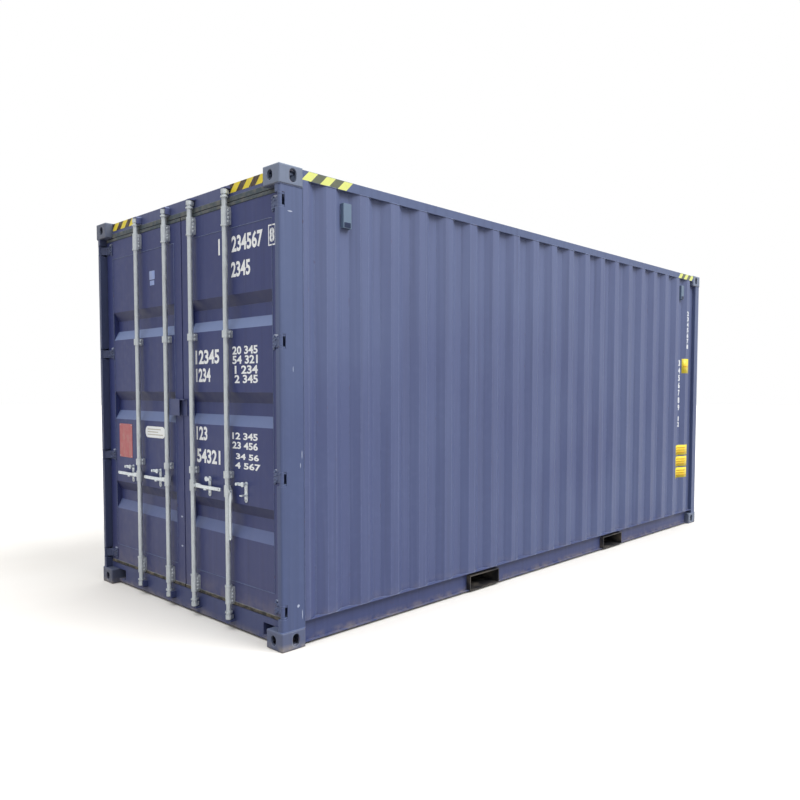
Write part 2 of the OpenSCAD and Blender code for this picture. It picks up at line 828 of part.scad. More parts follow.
module hinge_lugs() {
    color("slateblue") for (side = [-1, 1], z = hinge_levels)
        on_side(side) translate([pin_x, -pin_y, z]) hinge_lug_pair();
}

// Pressed hood over a ventilator, open below.
module ventilator_hood() {
    difference() {
        translate([-vent_depth, -vent_width / 2, 0]) cube([vent_depth, vent_width, vent_height]);
        translate([-vent_depth - eps, -vent_width / 2 + vent_wall, -eps])
            cube([vent_depth - vent_wall + eps, vent_width - 2 * vent_wall,
                vent_height - vent_wall + eps]);
    }
}

module ventilator_hoods() {
    first = -half_l + side_start + (side_outer_flat + side_pitch) / 2;
    count = floor((end_plane - front_post_side - first) / side_pitch);
    color("slateblue") for (side = [-1, 1], k = [0, count - 1])
        on_side(side) translate([side_plane - side_depth + vent_depth, first + k * side_pitch,
                vent_top - vent_height]) ventilator_hood();
}

// Hollow leaf frame: two upright stiles and the top and bottom members.
module door_frame(side) {
    height = leaf_top - leaf_bottom;
    color("slateblue") on_side(side) difference() {
        translate([centre_gap, -gear_face, leaf_bottom])
            cube([leaf_out - centre_gap, leaf_depth, height]);
        translate([free_stile_x, -gear_face - eps, panel_bottom])
            cube([hinge_stile_x - free_stile_x, leaf_depth + 2 * eps, panel_top - panel_bottom]);
        for (x = [centre_gap, hinge_stile_x])
            translate([x + leaf_wall, -gear_face + leaf_wall, leaf_bottom + leaf_wall])
                cube([stile_width - 2 * leaf_wall, leaf_depth - 2 * leaf_wall,
                    height - 2 * leaf_wall]);
        for (z = [leaf_bottom, panel_top])
            translate([free_stile_x, -gear_face + leaf_wall, z + leaf_wall])
                cube([hinge_stile_x - free_stile_x, leaf_depth - 2 * leaf_wall,
                    leaf_rail_height - 2 * leaf_wall]);
    }
}

// Pressed panel with its recessed grooves, welded inside the leaf frame.
module door_panel(side) {
    corners = [for (z = groove_levels)
        each recess_corners(z, groove_height, groove_slope, groove_depth)];
    section = sheet_section(panel_bottom, panel_top, corners, groove_slope, groove_depth,
        panel_sheet);
    color("darkslateblue") on_side(side) translate([free_stile_x, -gear_face, 0])
        rotate([90, 0, 90]) linear_extrude(hinge_stile_x - free_stile_x)
            polygon([for (p = section) [p[1], p[0]]]);
}

// Rubber seal in the gaps round a leaf.
module door_seal(side) {
    outer = opening_half - seal_clearance;
    low = rail_top + seal_clearance;
    high = casting_under - seal_clearance;
    color("dimgray") on_side(side) translate([0, -leaf_back - seal_width, 0]) difference() {
        translate([seal_centre_gap, 0, low])
            cube([outer - seal_centre_gap, seal_width, high - low]);
        translate([centre_gap, -eps, leaf_bottom])
            cube([leaf_out - centre_gap, seal_width + 2 * eps, leaf_top - leaf_bottom]);
    }
}

// One cranked hinge blade, its eye at the origin.
module hinge_blade() {
    seat_y = gear_face - pin_y;
    edge_x = -(pin_x - leaf_out);
    low_y = -seat_y - blade_thickness;
    half_neck = blade_thickness / 2;
    translate([0, 0, -blade_height / 2]) linear_extrude(blade_height) difference() {
        union() {
            circle(r = eye_radius);
            polygon([
                [half_neck, half_neck],
                [-half_neck, -half_neck],
                [edge_x - blade_thickness, low_y],
                [edge_x - blade_length, low_y],
                [edge_x - blade_length, -seat_y],
                [edge_x, -seat_y]]);
        }
        circle(r = pin_radius + pin_clearance);
    }
}

module hinge_blades(side) {
    color("slateblue") for (z = hinge_levels)
        on_side(side) translate([pin_x, -pin_y, z]) hinge_blade();
}

// Bearing block and plate that guide a lock rod on the leaf's face.
module rod_bearing(radius, height, foot) {
    seat = gear_face + rod_y;
    difference() {
        translate([0, 0, -height / 2]) linear_extrude(height) {
            circle(r = radius);
            translate([-radius, 0]) square([2 * radius, -seat - bearing_plate]);
        }
        translate([0, 0, -height]) cylinder(r = rod_radius + bearing_clearance, h = 2 * height);
    }
    translate([radius, -seat, height / 2]) rotate([90, 0, 0]) linear_extrude(bearing_plate)
        rounded_corner_block(foot + radius, height, plate_corner);
}

module rod_bearings(places) {
    color("darkgray") for (x = places, i = [0 : len(bearing_levels) - 1])
        translate([x, rod_y, bearing_levels[i]])
            if (i == 0 || i == len(bearing_levels) - 1)
                rod_bearing(sleeve_radius, sleeve_height, sleeve_foot);
            else
                rod_bearing(bearing_radius, bearing_height, bearing_foot);
}

// Catch for one handle: plate with a lashing eye, tray under the handle, the latch's boss and pin.
module handle_catch() {
    plate = bearing_plate;
    tray_z = handle_level - handle_radius - catch_tray - ear_play;
    eye_z = handle_level - catch_eye_drop;
    translate([0, -gear_face, eye_z]) rotate([90, 0, 0]) linear_extrude(plate) difference() {
        union() {
            for (z = [0, latch_z - eye_z]) translate([0, z]) circle(d = catch_width);
            translate([-catch_width / 2, 0]) square([catch_width, latch_z - eye_z]);
        }
        circle(d = catch_eye);
    }
    translate([-catch_width / 2, rod_y - handle_thickness, tray_z])
        cube([catch_width, -gear_face - plate - rod_y + handle_thickness, catch_tray]);
    boss = rod_y + latch_thickness + ear_play;
    translate([0, boss, latch_z]) rotate([-90, 0, 0])
        cylinder(r = handle_pin, h = -gear_face - plate - boss);
    translate([0, rod_y - latch_thickness / 2, latch_z]) rotate([-90, 0, 0])
        cylinder(r = handle_pin / 2, h = boss + eps - rod_y + latch_thickness / 2);
}

module handle_catches(numbers) {
    color("darkgray") for (i = numbers)
        translate([rod_places[i] + handle_sides[i] * catch_offset, 0, 0]) handle_catch();
}

// Swivelling latch above one handle, with a knob at its end.
module handle_latch() {
    difference() {
        union() {
            cylinder(r = handle_pin + latch_thickness, h = latch_thickness);
            translate([0, -handle_pin, 0]) cube([latch_length, 2 * handle_pin, latch_thickness]);
        }
        translate([0, 0, -eps]) cylinder(r = handle_pin / 2 + pin_clearance,
            h = latch_thickness + 2 * eps);
    }
    translate([latch_length, 0, 0]) cylinder(r = handle_pin, h = latch_thickness + knob_reach);
}

// Latches one to three lie over their catches; the fourth is turned back towards its rod.
module latch(number) {
    i = number - 1;
    color("darkgray") translate([rod_places[i] + handle_sides[i] * catch_offset,
            rod_y + latch_thickness, latch_z])
        on_side(latch_sides[i]) rotate([90, 0, 0]) handle_latch();
}

// Plate beside the gap between the leaves; each leaf carries its own part of it.
module customs_plate_part(from, to) {
    translate([from, -gear_face - customs_plate, customs_level])
        cube([to - from, customs_plate, customs_height]);
}

// Left part: a box over the plate, open towards the gap and below.
module left_customs_plate() {
    color("slateblue") {
        customs_plate_part(-customs_left - centre_gap, -centre_gap);
        translate([-customs_box - centre_gap, -gear_face - customs_depth, customs_level])
            difference() {
                cube([customs_box, customs_depth, customs_height]);
                translate([customs_plate, customs_plate, -eps])
                    cube([customs_box, customs_depth, customs_height - customs_plate + eps]);
            }
    }
}

// Right part: the plate with a ledge along its top.
module right_customs_plate() {
    color("slateblue") {
        customs_plate_part(centre_gap, centre_gap + customs_right);
        translate([centre_gap, -gear_face - customs_depth,
                customs_level + customs_height - customs_plate])
            cube([customs_right, customs_depth, customs_plate]);
    }
}

// Cam at one end of a rod: a boss and a nose towards the keeper.
module cam() {
    linear_extrude(cam_height) difference() {
        union() {
            circle(r = cam_boss);
            translate([-cam_width / 2, 0]) square([cam_width, cam_reach]);
        }
        circle(r = rod_radius - rod_wall);
    }
}

// Hub with two ears and a pin for a handle, pointing along +X.
module handle_hub() {
    gap = handle_thickness / 2 + ear_play;
    difference() {
        translate([0, 0, -hub_height / 2]) cylinder(r = hub_radius, h = hub_height);
        translate([0, 0, -hub_height]) cylinder(r = rod_radius - rod_wall, h = 2 * hub_height);
        translate([rod_radius, -gap, -hub_height]) cube([hub_radius, 2 * gap, 2 * hub_height]);
    }
    for (side = [-1, 1]) translate([0, side * (gap + ear_thickness / 2), 0]) rotate([90, 0, 0])
        linear_extrude(ear_thickness, center = true) {
            translate([handle_pivot_offset, 0]) circle(r = handle_radius);
            polygon([[rod_radius, -ear_height / 2], [handle_pivot_offset, -handle_radius],
                [handle_pivot_offset, handle_radius], [rod_radius, ear_height / 2]]);
        }
    translate([handle_pivot_offset, 0, 0]) rotate([90, 0, 0])
        cylinder(r = handle_pin / 2, h = 2 * gap + ear_thickness, center = true);
}

module collar() {
    difference() {
        cylinder(r = collar_radius, h = collar_height);
        translate([0, 0, -eps]) cylinder(r = rod_radius - rod_wall, h = collar_height + 2 * eps);
    }
}

module lock_rod(number) {
    i = number - 1;
    color("darkgray") translate([rod_places[i], rod_y, 0]) {
        translate([0, 0, rod_bottom]) difference() {
            cylinder(r = rod_radius, h = rod_top - rod_bottom);
            translate([0, 0, -eps]) cylinder(r = rod_radius - rod_wall,
                h = rod_top - rod_bottom + 2 * eps);
        }
        for (z = [cam_low_z, cam_high_z]) translate([0, 0, z]) cam();
        for (z = [bearing_levels[0] + sleeve_height / 2 + collar_play,
                bearing_levels[3] - sleeve_height / 2 - collar_play - collar_height,
                cam_low_z + cam_height + cam_ring_gap, cam_high_z - cam_ring_gap - collar_height])
            translate([0, 0, z]) collar();
        translate([0, 0, handle_level]) mirror([handle_sides[i] < 0 ? 1 : 0, 0, 0]) handle_hub();
    }
}

// Flat handle from its pivot along +X, with a broad root, a round end and a sealing hole.
module handle_bar() {
    rotate([90, 0, 0]) linear_extrude(handle_thickness, center = true) difference() {
        union() {
            circle(r = handle_radius);
            polygon([[0, 0], [root_end, 0], [root_end, handle_radius],
                [(root_start + root_end) / 2, root_rise], [root_start, root_rise],
                [0, handle_radius]]);
            translate([0, -handle_radius]) square([handle_length - handle_radius, handle_height]);
            translate([handle_length - handle_radius, 0]) circle(r = handle_radius);
        }
        circle(r = handle_pin / 2 + pin_clearance);
        translate([handle_length - handle_height, 0]) circle(r = handle_pin / 2);
    }
}

// Handles one to three lie along the doors; the fourth hangs down beside its rod.
module handle(number) {
    i = number - 1;
    color("darkgray") translate([rod_places[i] + handle_sides[i] * handle_pivot_offset, rod_y,
            handle_level])
        mirror([handle_sides[i] < 0 ? 1 : 0, 0, 0]) rotate([0, number == 4 ? 90 : 0, 0])
            handle_bar();
}

corner_castings_bottom();
corner_castings_top();
rear_post(-1);  // rear_post_left
rear_post(1);  // rear_post_right
front_post(-1);  // front_post_left
front_post(1);  // front_post_right
door_header();
door_sill();
front_top_rail();
front_bottom_sill();
top_side_rail(-1);  // top_side_rail_left
top_side_rail(1);  // top_side_rail_right
bottom_side_rail(-1);  // bottom_side_rail_left
bottom_side_rail(1);  // bottom_side_rail_right
side_wall(-1);  // side_wall_left
side_wall(1);  // side_wall_right
front_end_wall();
roof_panel();
roof_corner_plates();
floor_boards();
cross_members();
fork_pockets();
cam_keepers();
hinge_lugs();
ventilator_hoods();
door_frame(-1);  // left_door_frame
door_panel(-1);  // left_door_panel
door_seal(-1);  // left_door_seal
hinge_blades(-1);  // left_hinge_blades
rod_bearings([-rod_outer, -rod_inner]);  // left_rod_bearings
handle_catches([0, 1]);  // left_handle_catches
left_customs_plate();
door_frame(1);  // right_door_frame
door_panel(1);  // right_door_panel
door_seal(1);  // right_door_seal
hinge_blades(1);  // right_hinge_blades
rod_bearings([rod_inner, rod_outer]);  // right_rod_bearings
handle_catches([2, 3]);  // right_handle_catches
right_customs_plate();
lock_rod(1);  // lock_rod_1
lock_rod(2);  // lock_rod_2
lock_rod(3);  // lock_rod_3
lock_rod(4);  // lock_rod_4
handle(1);  // handle_1
handle(2);  // handle_2
handle(3);  // handle_3
handle(4);  // handle_4
latch(1);  // handle_latch_1
latch(2);  // handle_latch_2
latch(3);  // handle_latch_3
latch(4);  // handle_latch_4
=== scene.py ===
import math
import random
from contextlib import contextmanager

import bmesh
import bpy
from bpy.props import FloatProperty, FloatVectorProperty, PointerProperty
from mathutils import Matrix, Vector


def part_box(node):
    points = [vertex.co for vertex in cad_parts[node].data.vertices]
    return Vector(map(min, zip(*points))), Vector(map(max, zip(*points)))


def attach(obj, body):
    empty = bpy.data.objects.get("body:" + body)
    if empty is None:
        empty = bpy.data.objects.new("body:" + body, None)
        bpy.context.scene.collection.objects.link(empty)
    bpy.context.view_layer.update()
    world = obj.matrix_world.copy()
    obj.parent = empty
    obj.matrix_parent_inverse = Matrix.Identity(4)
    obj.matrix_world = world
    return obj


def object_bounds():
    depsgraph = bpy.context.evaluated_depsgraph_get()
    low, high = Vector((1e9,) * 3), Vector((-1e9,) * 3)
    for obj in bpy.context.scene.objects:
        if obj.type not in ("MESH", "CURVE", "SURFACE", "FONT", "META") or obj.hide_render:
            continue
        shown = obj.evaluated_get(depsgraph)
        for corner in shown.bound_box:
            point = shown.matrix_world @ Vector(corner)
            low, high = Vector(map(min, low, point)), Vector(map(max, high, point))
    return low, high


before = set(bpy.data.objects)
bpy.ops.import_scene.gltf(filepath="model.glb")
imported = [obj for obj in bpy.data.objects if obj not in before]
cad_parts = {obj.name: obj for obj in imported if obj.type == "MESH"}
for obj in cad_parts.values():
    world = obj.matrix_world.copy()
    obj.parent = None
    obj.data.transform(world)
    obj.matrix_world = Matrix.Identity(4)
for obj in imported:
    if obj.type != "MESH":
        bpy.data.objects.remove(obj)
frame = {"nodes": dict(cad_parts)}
CAD_LOW, CAD_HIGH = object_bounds()

bl_info = {
    "name": "Freight container dressing",
    "version": (1, 0, 0),
    "blender": (4, 5, 0),
    "location": "3D View > Sidebar > Container",
    "description": "Adds finishes, welds, fasteners, markings and a studio to the container",
    "category": "Object",
}


# Places read from the CAD nodes
LEAF_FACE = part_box("right_door_frame")[0].y
LEAF_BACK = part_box("right_door_frame")[1].y
OPENING_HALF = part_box("rear_post_right")[0].x
SIDE_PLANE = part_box("side_wall_right")[1].x
END_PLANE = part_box("front_end_wall")[1].y
RAIL_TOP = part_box("bottom_side_rail_right")[1].z
WALL_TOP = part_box("top_side_rail_right")[0].z
FRAME_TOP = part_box("top_side_rail_right")[1].z
CASTING_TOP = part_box("corner_castings_bottom")[1].z
CASTING_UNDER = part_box("corner_castings_top")[0].z
HEADER_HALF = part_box("door_header")[1].x
SILL_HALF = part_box("front_bottom_sill")[1].x
REAR_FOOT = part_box("rear_post_right")[1].y
FRONT_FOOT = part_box("front_post_right")[0].y
ROOF_LOW, ROOF_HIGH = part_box("roof_panel")

# Sizes that this script repeats from the part's source: the corrugation of the side walls,
# the lines and levels of the locking gear, and thicknesses of its plates
SIDE_PITCH = 0.282
SIDE_FLAT = 0.072
SIDE_SLOPE = 0.068
SIDE_DEPTH = 0.036
SIDE_FIRST = CAD_LOW.y + 0.364
ROD_LINES = {1: -0.605, 2: -0.175, 3: 0.175, 4: 0.605}
HINGE_LEVELS = (0.240, 1.045, 1.862, 2.688)
BEARING_LEVELS = (0.230, 1.025, 1.935, 2.688)
CATCH_OFFSET = 0.165
CATCH_RIVETS = (0.8905, 0.946)
GEAR_PLATE = 0.006
SLEEVE = 0.022
BEARING = 0.025
FLANK = CAD_LOW.y + 0.042
BLADE = 0.010
HOOD_WIDTH = 0.066
FACE_SETBACK = 0.006
CASTING_LENGTH = 0.178

# The last corrugation but one, where the side numbers and labels are
LABELLED_FLAT = SIDE_FIRST + 19 * SIDE_PITCH


def linear(code):
    """Linear colour of an sRGB hex value."""
    parts = [int(code[i:i + 2], 16) / 255 for i in (0, 2, 4)]
    return tuple(p / 12.92 if p <= 0.04045 else ((p + 0.055) / 1.055) ** 2.4 for p in parts)


def number(name, description, default, **settings):
    """A property of one number, or of several when its default is a tuple."""
    settings.update(name=name, description=description, default=default)
    if isinstance(default, tuple):
        return FloatVectorProperty(size=len(default), **settings)
    return FloatProperty(**settings)


def colour(name, description, code):
    """A colour property with its default given as an sRGB hex value."""
    return number(name, description, linear(code), subtype="COLOR", min=0, max=1)


def length(name, description, default):
    """A length property in metres."""
    return number(name, description, default, unit="LENGTH")


def angle(name, description, *degrees):
    """A property of one angle or more, with its default given in degrees."""
    turns = tuple(map(math.radians, degrees))
    return number(name, description, turns if len(turns) > 1 else turns[0], unit="ROTATION")


class ContainerColours(bpy.types.PropertyGroup):
    """Colours of the finishes."""
    side: colour("Side paint", "Paint of the corrugated walls", "566186")
    # partly painted shade: darker than the side paint, for dirt and for shade on the door end
    door: colour("Door paint", "Paint of the door leaves", "343D6E")
    gear: colour("Gear paint", "Brushed paint of header, sill, keepers and rails", "424B74")
    frame: colour("Frame paint", "Paint of posts, top rails and hinges", "4F5C80")
    casting: colour("Casting paint", "Paint of the corner castings", "646F86")
    roof: colour("Roof paint", "Paint of the roof sheet", "55618A")
    hood: colour("Hood paint", "Paint of the ventilator hoods", "60748B")
    # painted shade: near black for the shade in the hood's opening behind the mesh
    mesh: colour("Hood mesh", "Mesh in the mouths of the hoods", "1C2B4B")
    lining: colour("Lining paint", "Light paint inside the container", "B9BDBA")
    zinc: colour("Zinc", "Galvanised locking gear", "BCC3C8")
    yellow: colour("Yellow film", "Yellow of the hazard film and labels", "E8D43C")
    black: colour("Black film", "Dark stripes of the hazard film", "3A2A1E")
    # partly painted light: side films paler than end films, for bleaching and for the lamp light
    bleached: colour("Bleached yellow film", "Yellow of the film on the sides", "DEE585")
    faded: colour("Faded black film", "Dark stripes of the film on the sides", "626858")
    white: colour("White film", "Cut numerals and the white plate", "F2F6FA")
    red: colour("Red enamel", "Enamel of the red plate", "B4666A")
    amber: colour("Amber ink", "Print on the yellow labels", "D9A514")
    pale: colour("Pale blue film", "Small pale label on the left leaf", "8FA3D6")
    rubber: colour("Rubber", "Door seals", "2B2C2C")
    lip: colour("Seal lip", "Dusty outer lip of the door seals", "49545C")
    grey: colour("Grey ink", "Print on the white plate", "BDBBB4")
    # also the painted highlights above the hinge blades
    primer: colour("Primer", "Pale primer in the scrapes", "A6B0C8")
    board: colour("Plywood", "Floor panels", "8A5A3A")
    bitumen: colour("Bitumen", "Coating under the floor", "26262A")
    rust: colour("Rust", "Rust at chips and edges", "6E4030")
    dust: colour("Dust", "Dry dust on ledges and near the ground", "A79C8C")


class ContainerSizes(bpy.types.PropertyGroup):
    """Sizes of the small pieces."""
    bead: length("Weld bead", "Width of a weld bead", 0.007)
    bolt: length("Bolt head", "Width across the flats of a bolt head", 0.019)
    rivet: length("Rivet head", "Diameter of a rivet head", 0.010)
    film: length("Film", "Thickness of the films and cut numerals", 0.0006)
    stripe: length("Stripe pitch", "Distance between yellow stripes along a film", 0.142)
    lip: length("Seal lip", "Height of the lips over the gaps round the leaves", 0.024)


class ContainerStage(bpy.types.PropertyGroup):
    """Camera, light and floor."""
    azimuth: angle("Azimuth", "Camera's angle round the container", 43.49)
    elevation: angle("Elevation", "Camera's angle above the horizon", 2.95)
    roll: angle("Roll", "Camera's turn about its own axis", 0.07)
    place: number("Place", "Where the camera stands", (4.738, -5.640, 1.586),
                  subtype="TRANSLATION")
    lens: number("Lens", "Focal length in millimetres", 33.05)
    shift: number("Shift", "Sideways and upward shift of the frame", (-0.0115, 0.033))
    floor: length("Floor", "Radius of the studio floor", 70.0)
    sky: number("Sky", "Strength of the even light", 0.50)
    lamps: number("Lamps", "Strengths of the side and upper lamps", (2.5, 1.3))
    turns: angle("Lamp turns", "Lamps' angles round the container", 112, 8)
    rises: angle("Lamp rises", "Lamps' angles above the horizon", 46, 68)
    spreads: angle("Lamp spreads", "How wide the lamps look", 35, 50)


def sizes():
    return bpy.context.scene.container_sizes


def colours():
    return bpy.context.scene.container_colours


# Shader nodes

def wire(node, sockets):
    """Sets each socket of a node, or links it to an output or to a node's first output."""
    for socket, value in dict(sockets).items():
        if isinstance(value, bpy.types.Node):
            value = value.outputs[0]
        if isinstance(value, bpy.types.NodeSocket):
            node.id_data.links.new(value, node.inputs[socket])
        else:
            node.inputs[socket].default_value = value
    return node


def add(tree, kind, sockets=(), **settings):
    """Adds a shader node with its settings and links."""
    made = tree.nodes.new(kind)
    for name, value in settings.items():
        setattr(made, name, value)
    return wire(made, sockets)


def new_material(name, specular=0.5):
    """An empty material: itself, its tree, its shader, its object coordinates and normals."""
    material = bpy.data.materials.new(name)
    material.use_nodes = True
    tree = material.node_tree
    tree.nodes.clear()
    shader = add(tree, "ShaderNodeBsdfPrincipled", {"Specular IOR Level": specular})
    add(tree, "ShaderNodeOutputMaterial", {"Surface": shader})
    coords = add(tree, "ShaderNodeTexCoord").outputs
    return material, tree, shader, coords["Object"], coords["Normal"]


def rgba(value):
    """A colour with full alpha, from three numbers."""
    return (*(min(1.0, c) for c in value), 1.0)


def scaled(value, factor):
    """A colour made lighter or darker by a factor."""
    return rgba(c * factor for c in value)


def patches(place, size, start=0.0, end=1.0, low=0.0, high=1.0, detail=3.0,
            stretch=(1, 1, 1)):
    """Cloudy patches about size metres across, cut between start and end into low to high."""
    tree = place.id_data
    spread = add(tree, "ShaderNodeMapping",
                 {"Vector": place, "Scale": [1 / (size * s) for s in stretch]})
    cloud = add(tree, "ShaderNodeTexNoise", {"Vector": spread, "Scale": 1.0, "Detail": detail})
    return add(tree, "ShaderNodeMapRange", {
        "Value": cloud, "From Min": start, "From Max": end, "To Min": low, "To Max": high})


def reach(vector, axis, start, end, most=1.0):
    """0 to most as one axis of a place or a normal goes from start to end."""
    tree = vector.id_data
    part = add(tree, "ShaderNodeSeparateXYZ", {0: vector}).outputs[axis]
    return add(tree, "ShaderNodeMapRange", {
        "Value": part, "From Min": start, "From Max": end, "To Max": most})


def both(*masks):
    """Where all of these masks hold."""
    found = masks[0]
    for mask in masks[1:]:
        found = add(found.id_data, "ShaderNodeMath", {0: found, 1: mask}, operation="MULTIPLY")
    return found


def coats(tree, base, *layers):
    """Lays coats over a base colour, each as far as its own mask says."""
    for mask, tone in layers:
        base = add(tree, "ShaderNodeMix", {0: mask, 6: base, 7: tone}, data_type="RGBA").outputs[2]
    return base


def edges(tree, radius, start, end):
    """How near a point is to a sharp edge, and the normal rounded over that edge."""
    rounded = add(tree, "ShaderNodeBevel", {"Radius": radius}, samples=4)
    true = add(tree, "ShaderNodeNewGeometry").outputs["True Normal"]
    likeness = add(tree, "ShaderNodeVectorMath", {0: rounded, 1: true}, operation="DOT_PRODUCT")
    return add(tree, "ShaderNodeMapRange", {
        "Value": likeness.outputs["Value"], "From Min": 1 - start, "From Max": 1 - end}), rounded


def inner_face(place, normal, axis):
    """1 on the faces that look into the container, from the side that the wall stands on."""
    tree = place.id_data
    parts = [add(tree, "ShaderNodeSeparateXYZ", {0: vector}).outputs[axis]
             for vector in (normal, place)]
    return add(tree, "ShaderNodeMapRange",
               {"Value": both(*parts), "From Min": -0.05, "From Max": -0.10})


def relief(*layers, under=None):
    """Bumps laid on each other, each a pattern with its height in metres."""
    for pattern, distance in layers:
        sockets = {"Height": pattern, "Distance": distance, "Strength": 0.7}
        if under:
            sockets["Normal"] = under
        under = add(pattern.id_data, "ShaderNodeBump", sockets)
    return under


# Finishes

def weathered_paint(name, paint, chips=0.5, splash=0.25, wear=0.004, lined=None, dusty=0.0,
                    chalk_and_sky_light=0.7, near_shade=0.0, film=0.0, paling_upward=0.55, far_shade=0.0, chalk_and_light_gain=2.1):
    """Paint sprayed or brushed on steel.

    It gives a satin surface with fine orange peel. Where the steel faces the sky the paint is
    lighter, partly chalking and partly painted sky light, where it faces the ground it is darker
    as painted shade, rain has drawn upright streaks, and rust shows at chips and rubbed edges.

    splash is the height of the road dirt and wear the width of a rubbed edge, in metres; lined
    is the axis along which the inner faces have the lining paint; ledge is how much lighter the
    faces that look up are made, by chalking and by painted sky light; the others are strengths
    from 0 to 1, but chips may pass 1.
    """
    material, tree, shader, place, normal = new_material(name, specular=0.28)
    tint = colours()
    dust = rgba(tint.dust)
    pale = rgba(1.15 * c + 0.03 for c in paint)
    rubbed = rgba(1.7 * c + 0.05 for c in paint)
    chalk_and_light = rgba((paint[0] * chalk_and_light_gain + 0.05, paint[1] * chalk_and_light_gain + 0.06,
                   paint[2] * (0.8 + 0.4 * chalk_and_light_gain) + 0.07))
    deep_fade_and_shade = rgba((paint[0] * 0.70, paint[1] * 0.68, paint[2] * 0.80))
    soot_and_shade = rgba((paint[0] * 0.55, paint[1] * 0.50, paint[2] * 0.52))
    upright = (1, 1, 36) if lined != "Y" else (1, 36, 36)

    # chips about 11 mm across in patches of 0.33 m, and edges rubbed thin or bare
    chip = both(patches(place, 0.33, 0.58, 0.70, detail=2.0),
                patches(place, 0.011, 0.72 - 0.05 * chips, 0.76 - 0.05 * chips))
    near_edge, rounded = edges(tree, wear, 0.02, 0.16)
    turned = add(tree, "ShaderNodeVectorTransform", {"Vector": rounded}, vector_type="NORMAL",
                 convert_from="WORLD", convert_to="OBJECT")
    scuff = patches(place, 0.045, 0.66 - 0.1 * chips, 0.74 - 0.1 * chips, detail=4.0)
    bare = add(tree, "ShaderNodeMath", {0: chip, 1: both(near_edge, scuff)}, operation="MAXIMUM")

    # clouds of fading about 1.1 m across, paler towards the top, painted shade low down near the
    # door end, mottling of 50 mm, rain streaks 40 and 30 mm wide, then painted sky light with some
    # chalking on faces that look up, and painted shade on the far-left post and castings and on
    # faces that look down
    layers = [
        (patches(place, 1.1, 0.60, 0.36, 0.0, 0.55), deep_fade_and_shade),
        # paler towards the top
        (reach(place, "Z", 0.9, 2.9, paling_upward), pale),
        # painted shade: darker towards the bottom near the door end
        (both(reach(place, "Z", 2.3, 0.2, near_shade),
              reach(place, "Y", 1.0, -2.6)), deep_fade_and_shade),
        (patches(place, 0.05, 0.5, 0.8, 0.0, 0.16, 4.0), pale),
        (patches(place, 0.04, 0.50, 0.78, 0.0, 0.30, 3.0, upright), soot_and_shade),
        (patches(place, 0.03, 0.44, 0.26, 0.0, 0.22, 3.0, upright), pale),
        # partly chalking, partly painted sky light: upward faces are lighter, more so higher up
        (both(reach(normal, "Z", 0.15, 0.55, chalk_and_sky_light),
              reach(place, "Z", -0.5, 2.1)), chalk_and_light),
        # painted shade: the far-left post and castings at the door end are darkened
        (both(reach(place, "X", -0.98, -1.08, far_shade),
              reach(place, "Y", -2.5, -2.9)), soot_and_shade),
        # painted shade: faces that look down are darkened
        (reach(normal, "Z", -0.10, -0.50, 0.85), soot_and_shade),
        # rubbed edges, a painted highlight on edges whose rounded normal leans towards +Y, rust at
        # chips 20 mm across, splashes of 60 mm and dust near the ground
        (both(near_edge, patches(place, 0.045, 0.30, 0.55, 0.15, 0.65, 4.0)), rubbed),
        (both(near_edge, reach(turned.outputs[0], "Y", 0.02, 0.12, 0.6)), chalk_and_light),
        (both(bare, patches(place, 0.02, 0, 0.5, 0.5, 0.9)), rgba(tint.rust)),
        (both(reach(place, "Z", splash, 0.02, 0.45),
              patches(place, 0.06, 0.35, 0.7, detail=4.0)), dust),
        (reach(place, "Z", 1.0, 0.3, film), dust)]
    if dusty:
        layers.append((patches(place, 0.22, 0.42, 0.66, 0.0, dusty, 4.0), dust))
    if lined:
        layers.append((inner_face(place, normal, lined), rgba(tint.lining)))

    # satin paint, rougher at rust; dents 0.24 m across, peel drawn at 3.5 mm where the real one
    # is 1 to 2 mm, scabs of rust
    rough = add(tree, "ShaderNodeMath", {0: patches(place, 0.05, detail=4.0), 1: 0.30,
                                         2: 0.30}, operation="MULTIPLY_ADD")
    wire(shader, {
        "Base Color": coats(tree, rgba(paint), *layers),
        "Roughness": add(tree, "ShaderNodeMath", {0: bare, 1: 0.35, 2: rough},
                         operation="MULTIPLY_ADD"),
        "Normal": relief((patches(place, 0.24, detail=1.0), 0.002),
                         (patches(place, 0.0035, detail=1.0), 0.00010),
                         (bare, -0.0004), under=rounded)})
    return material


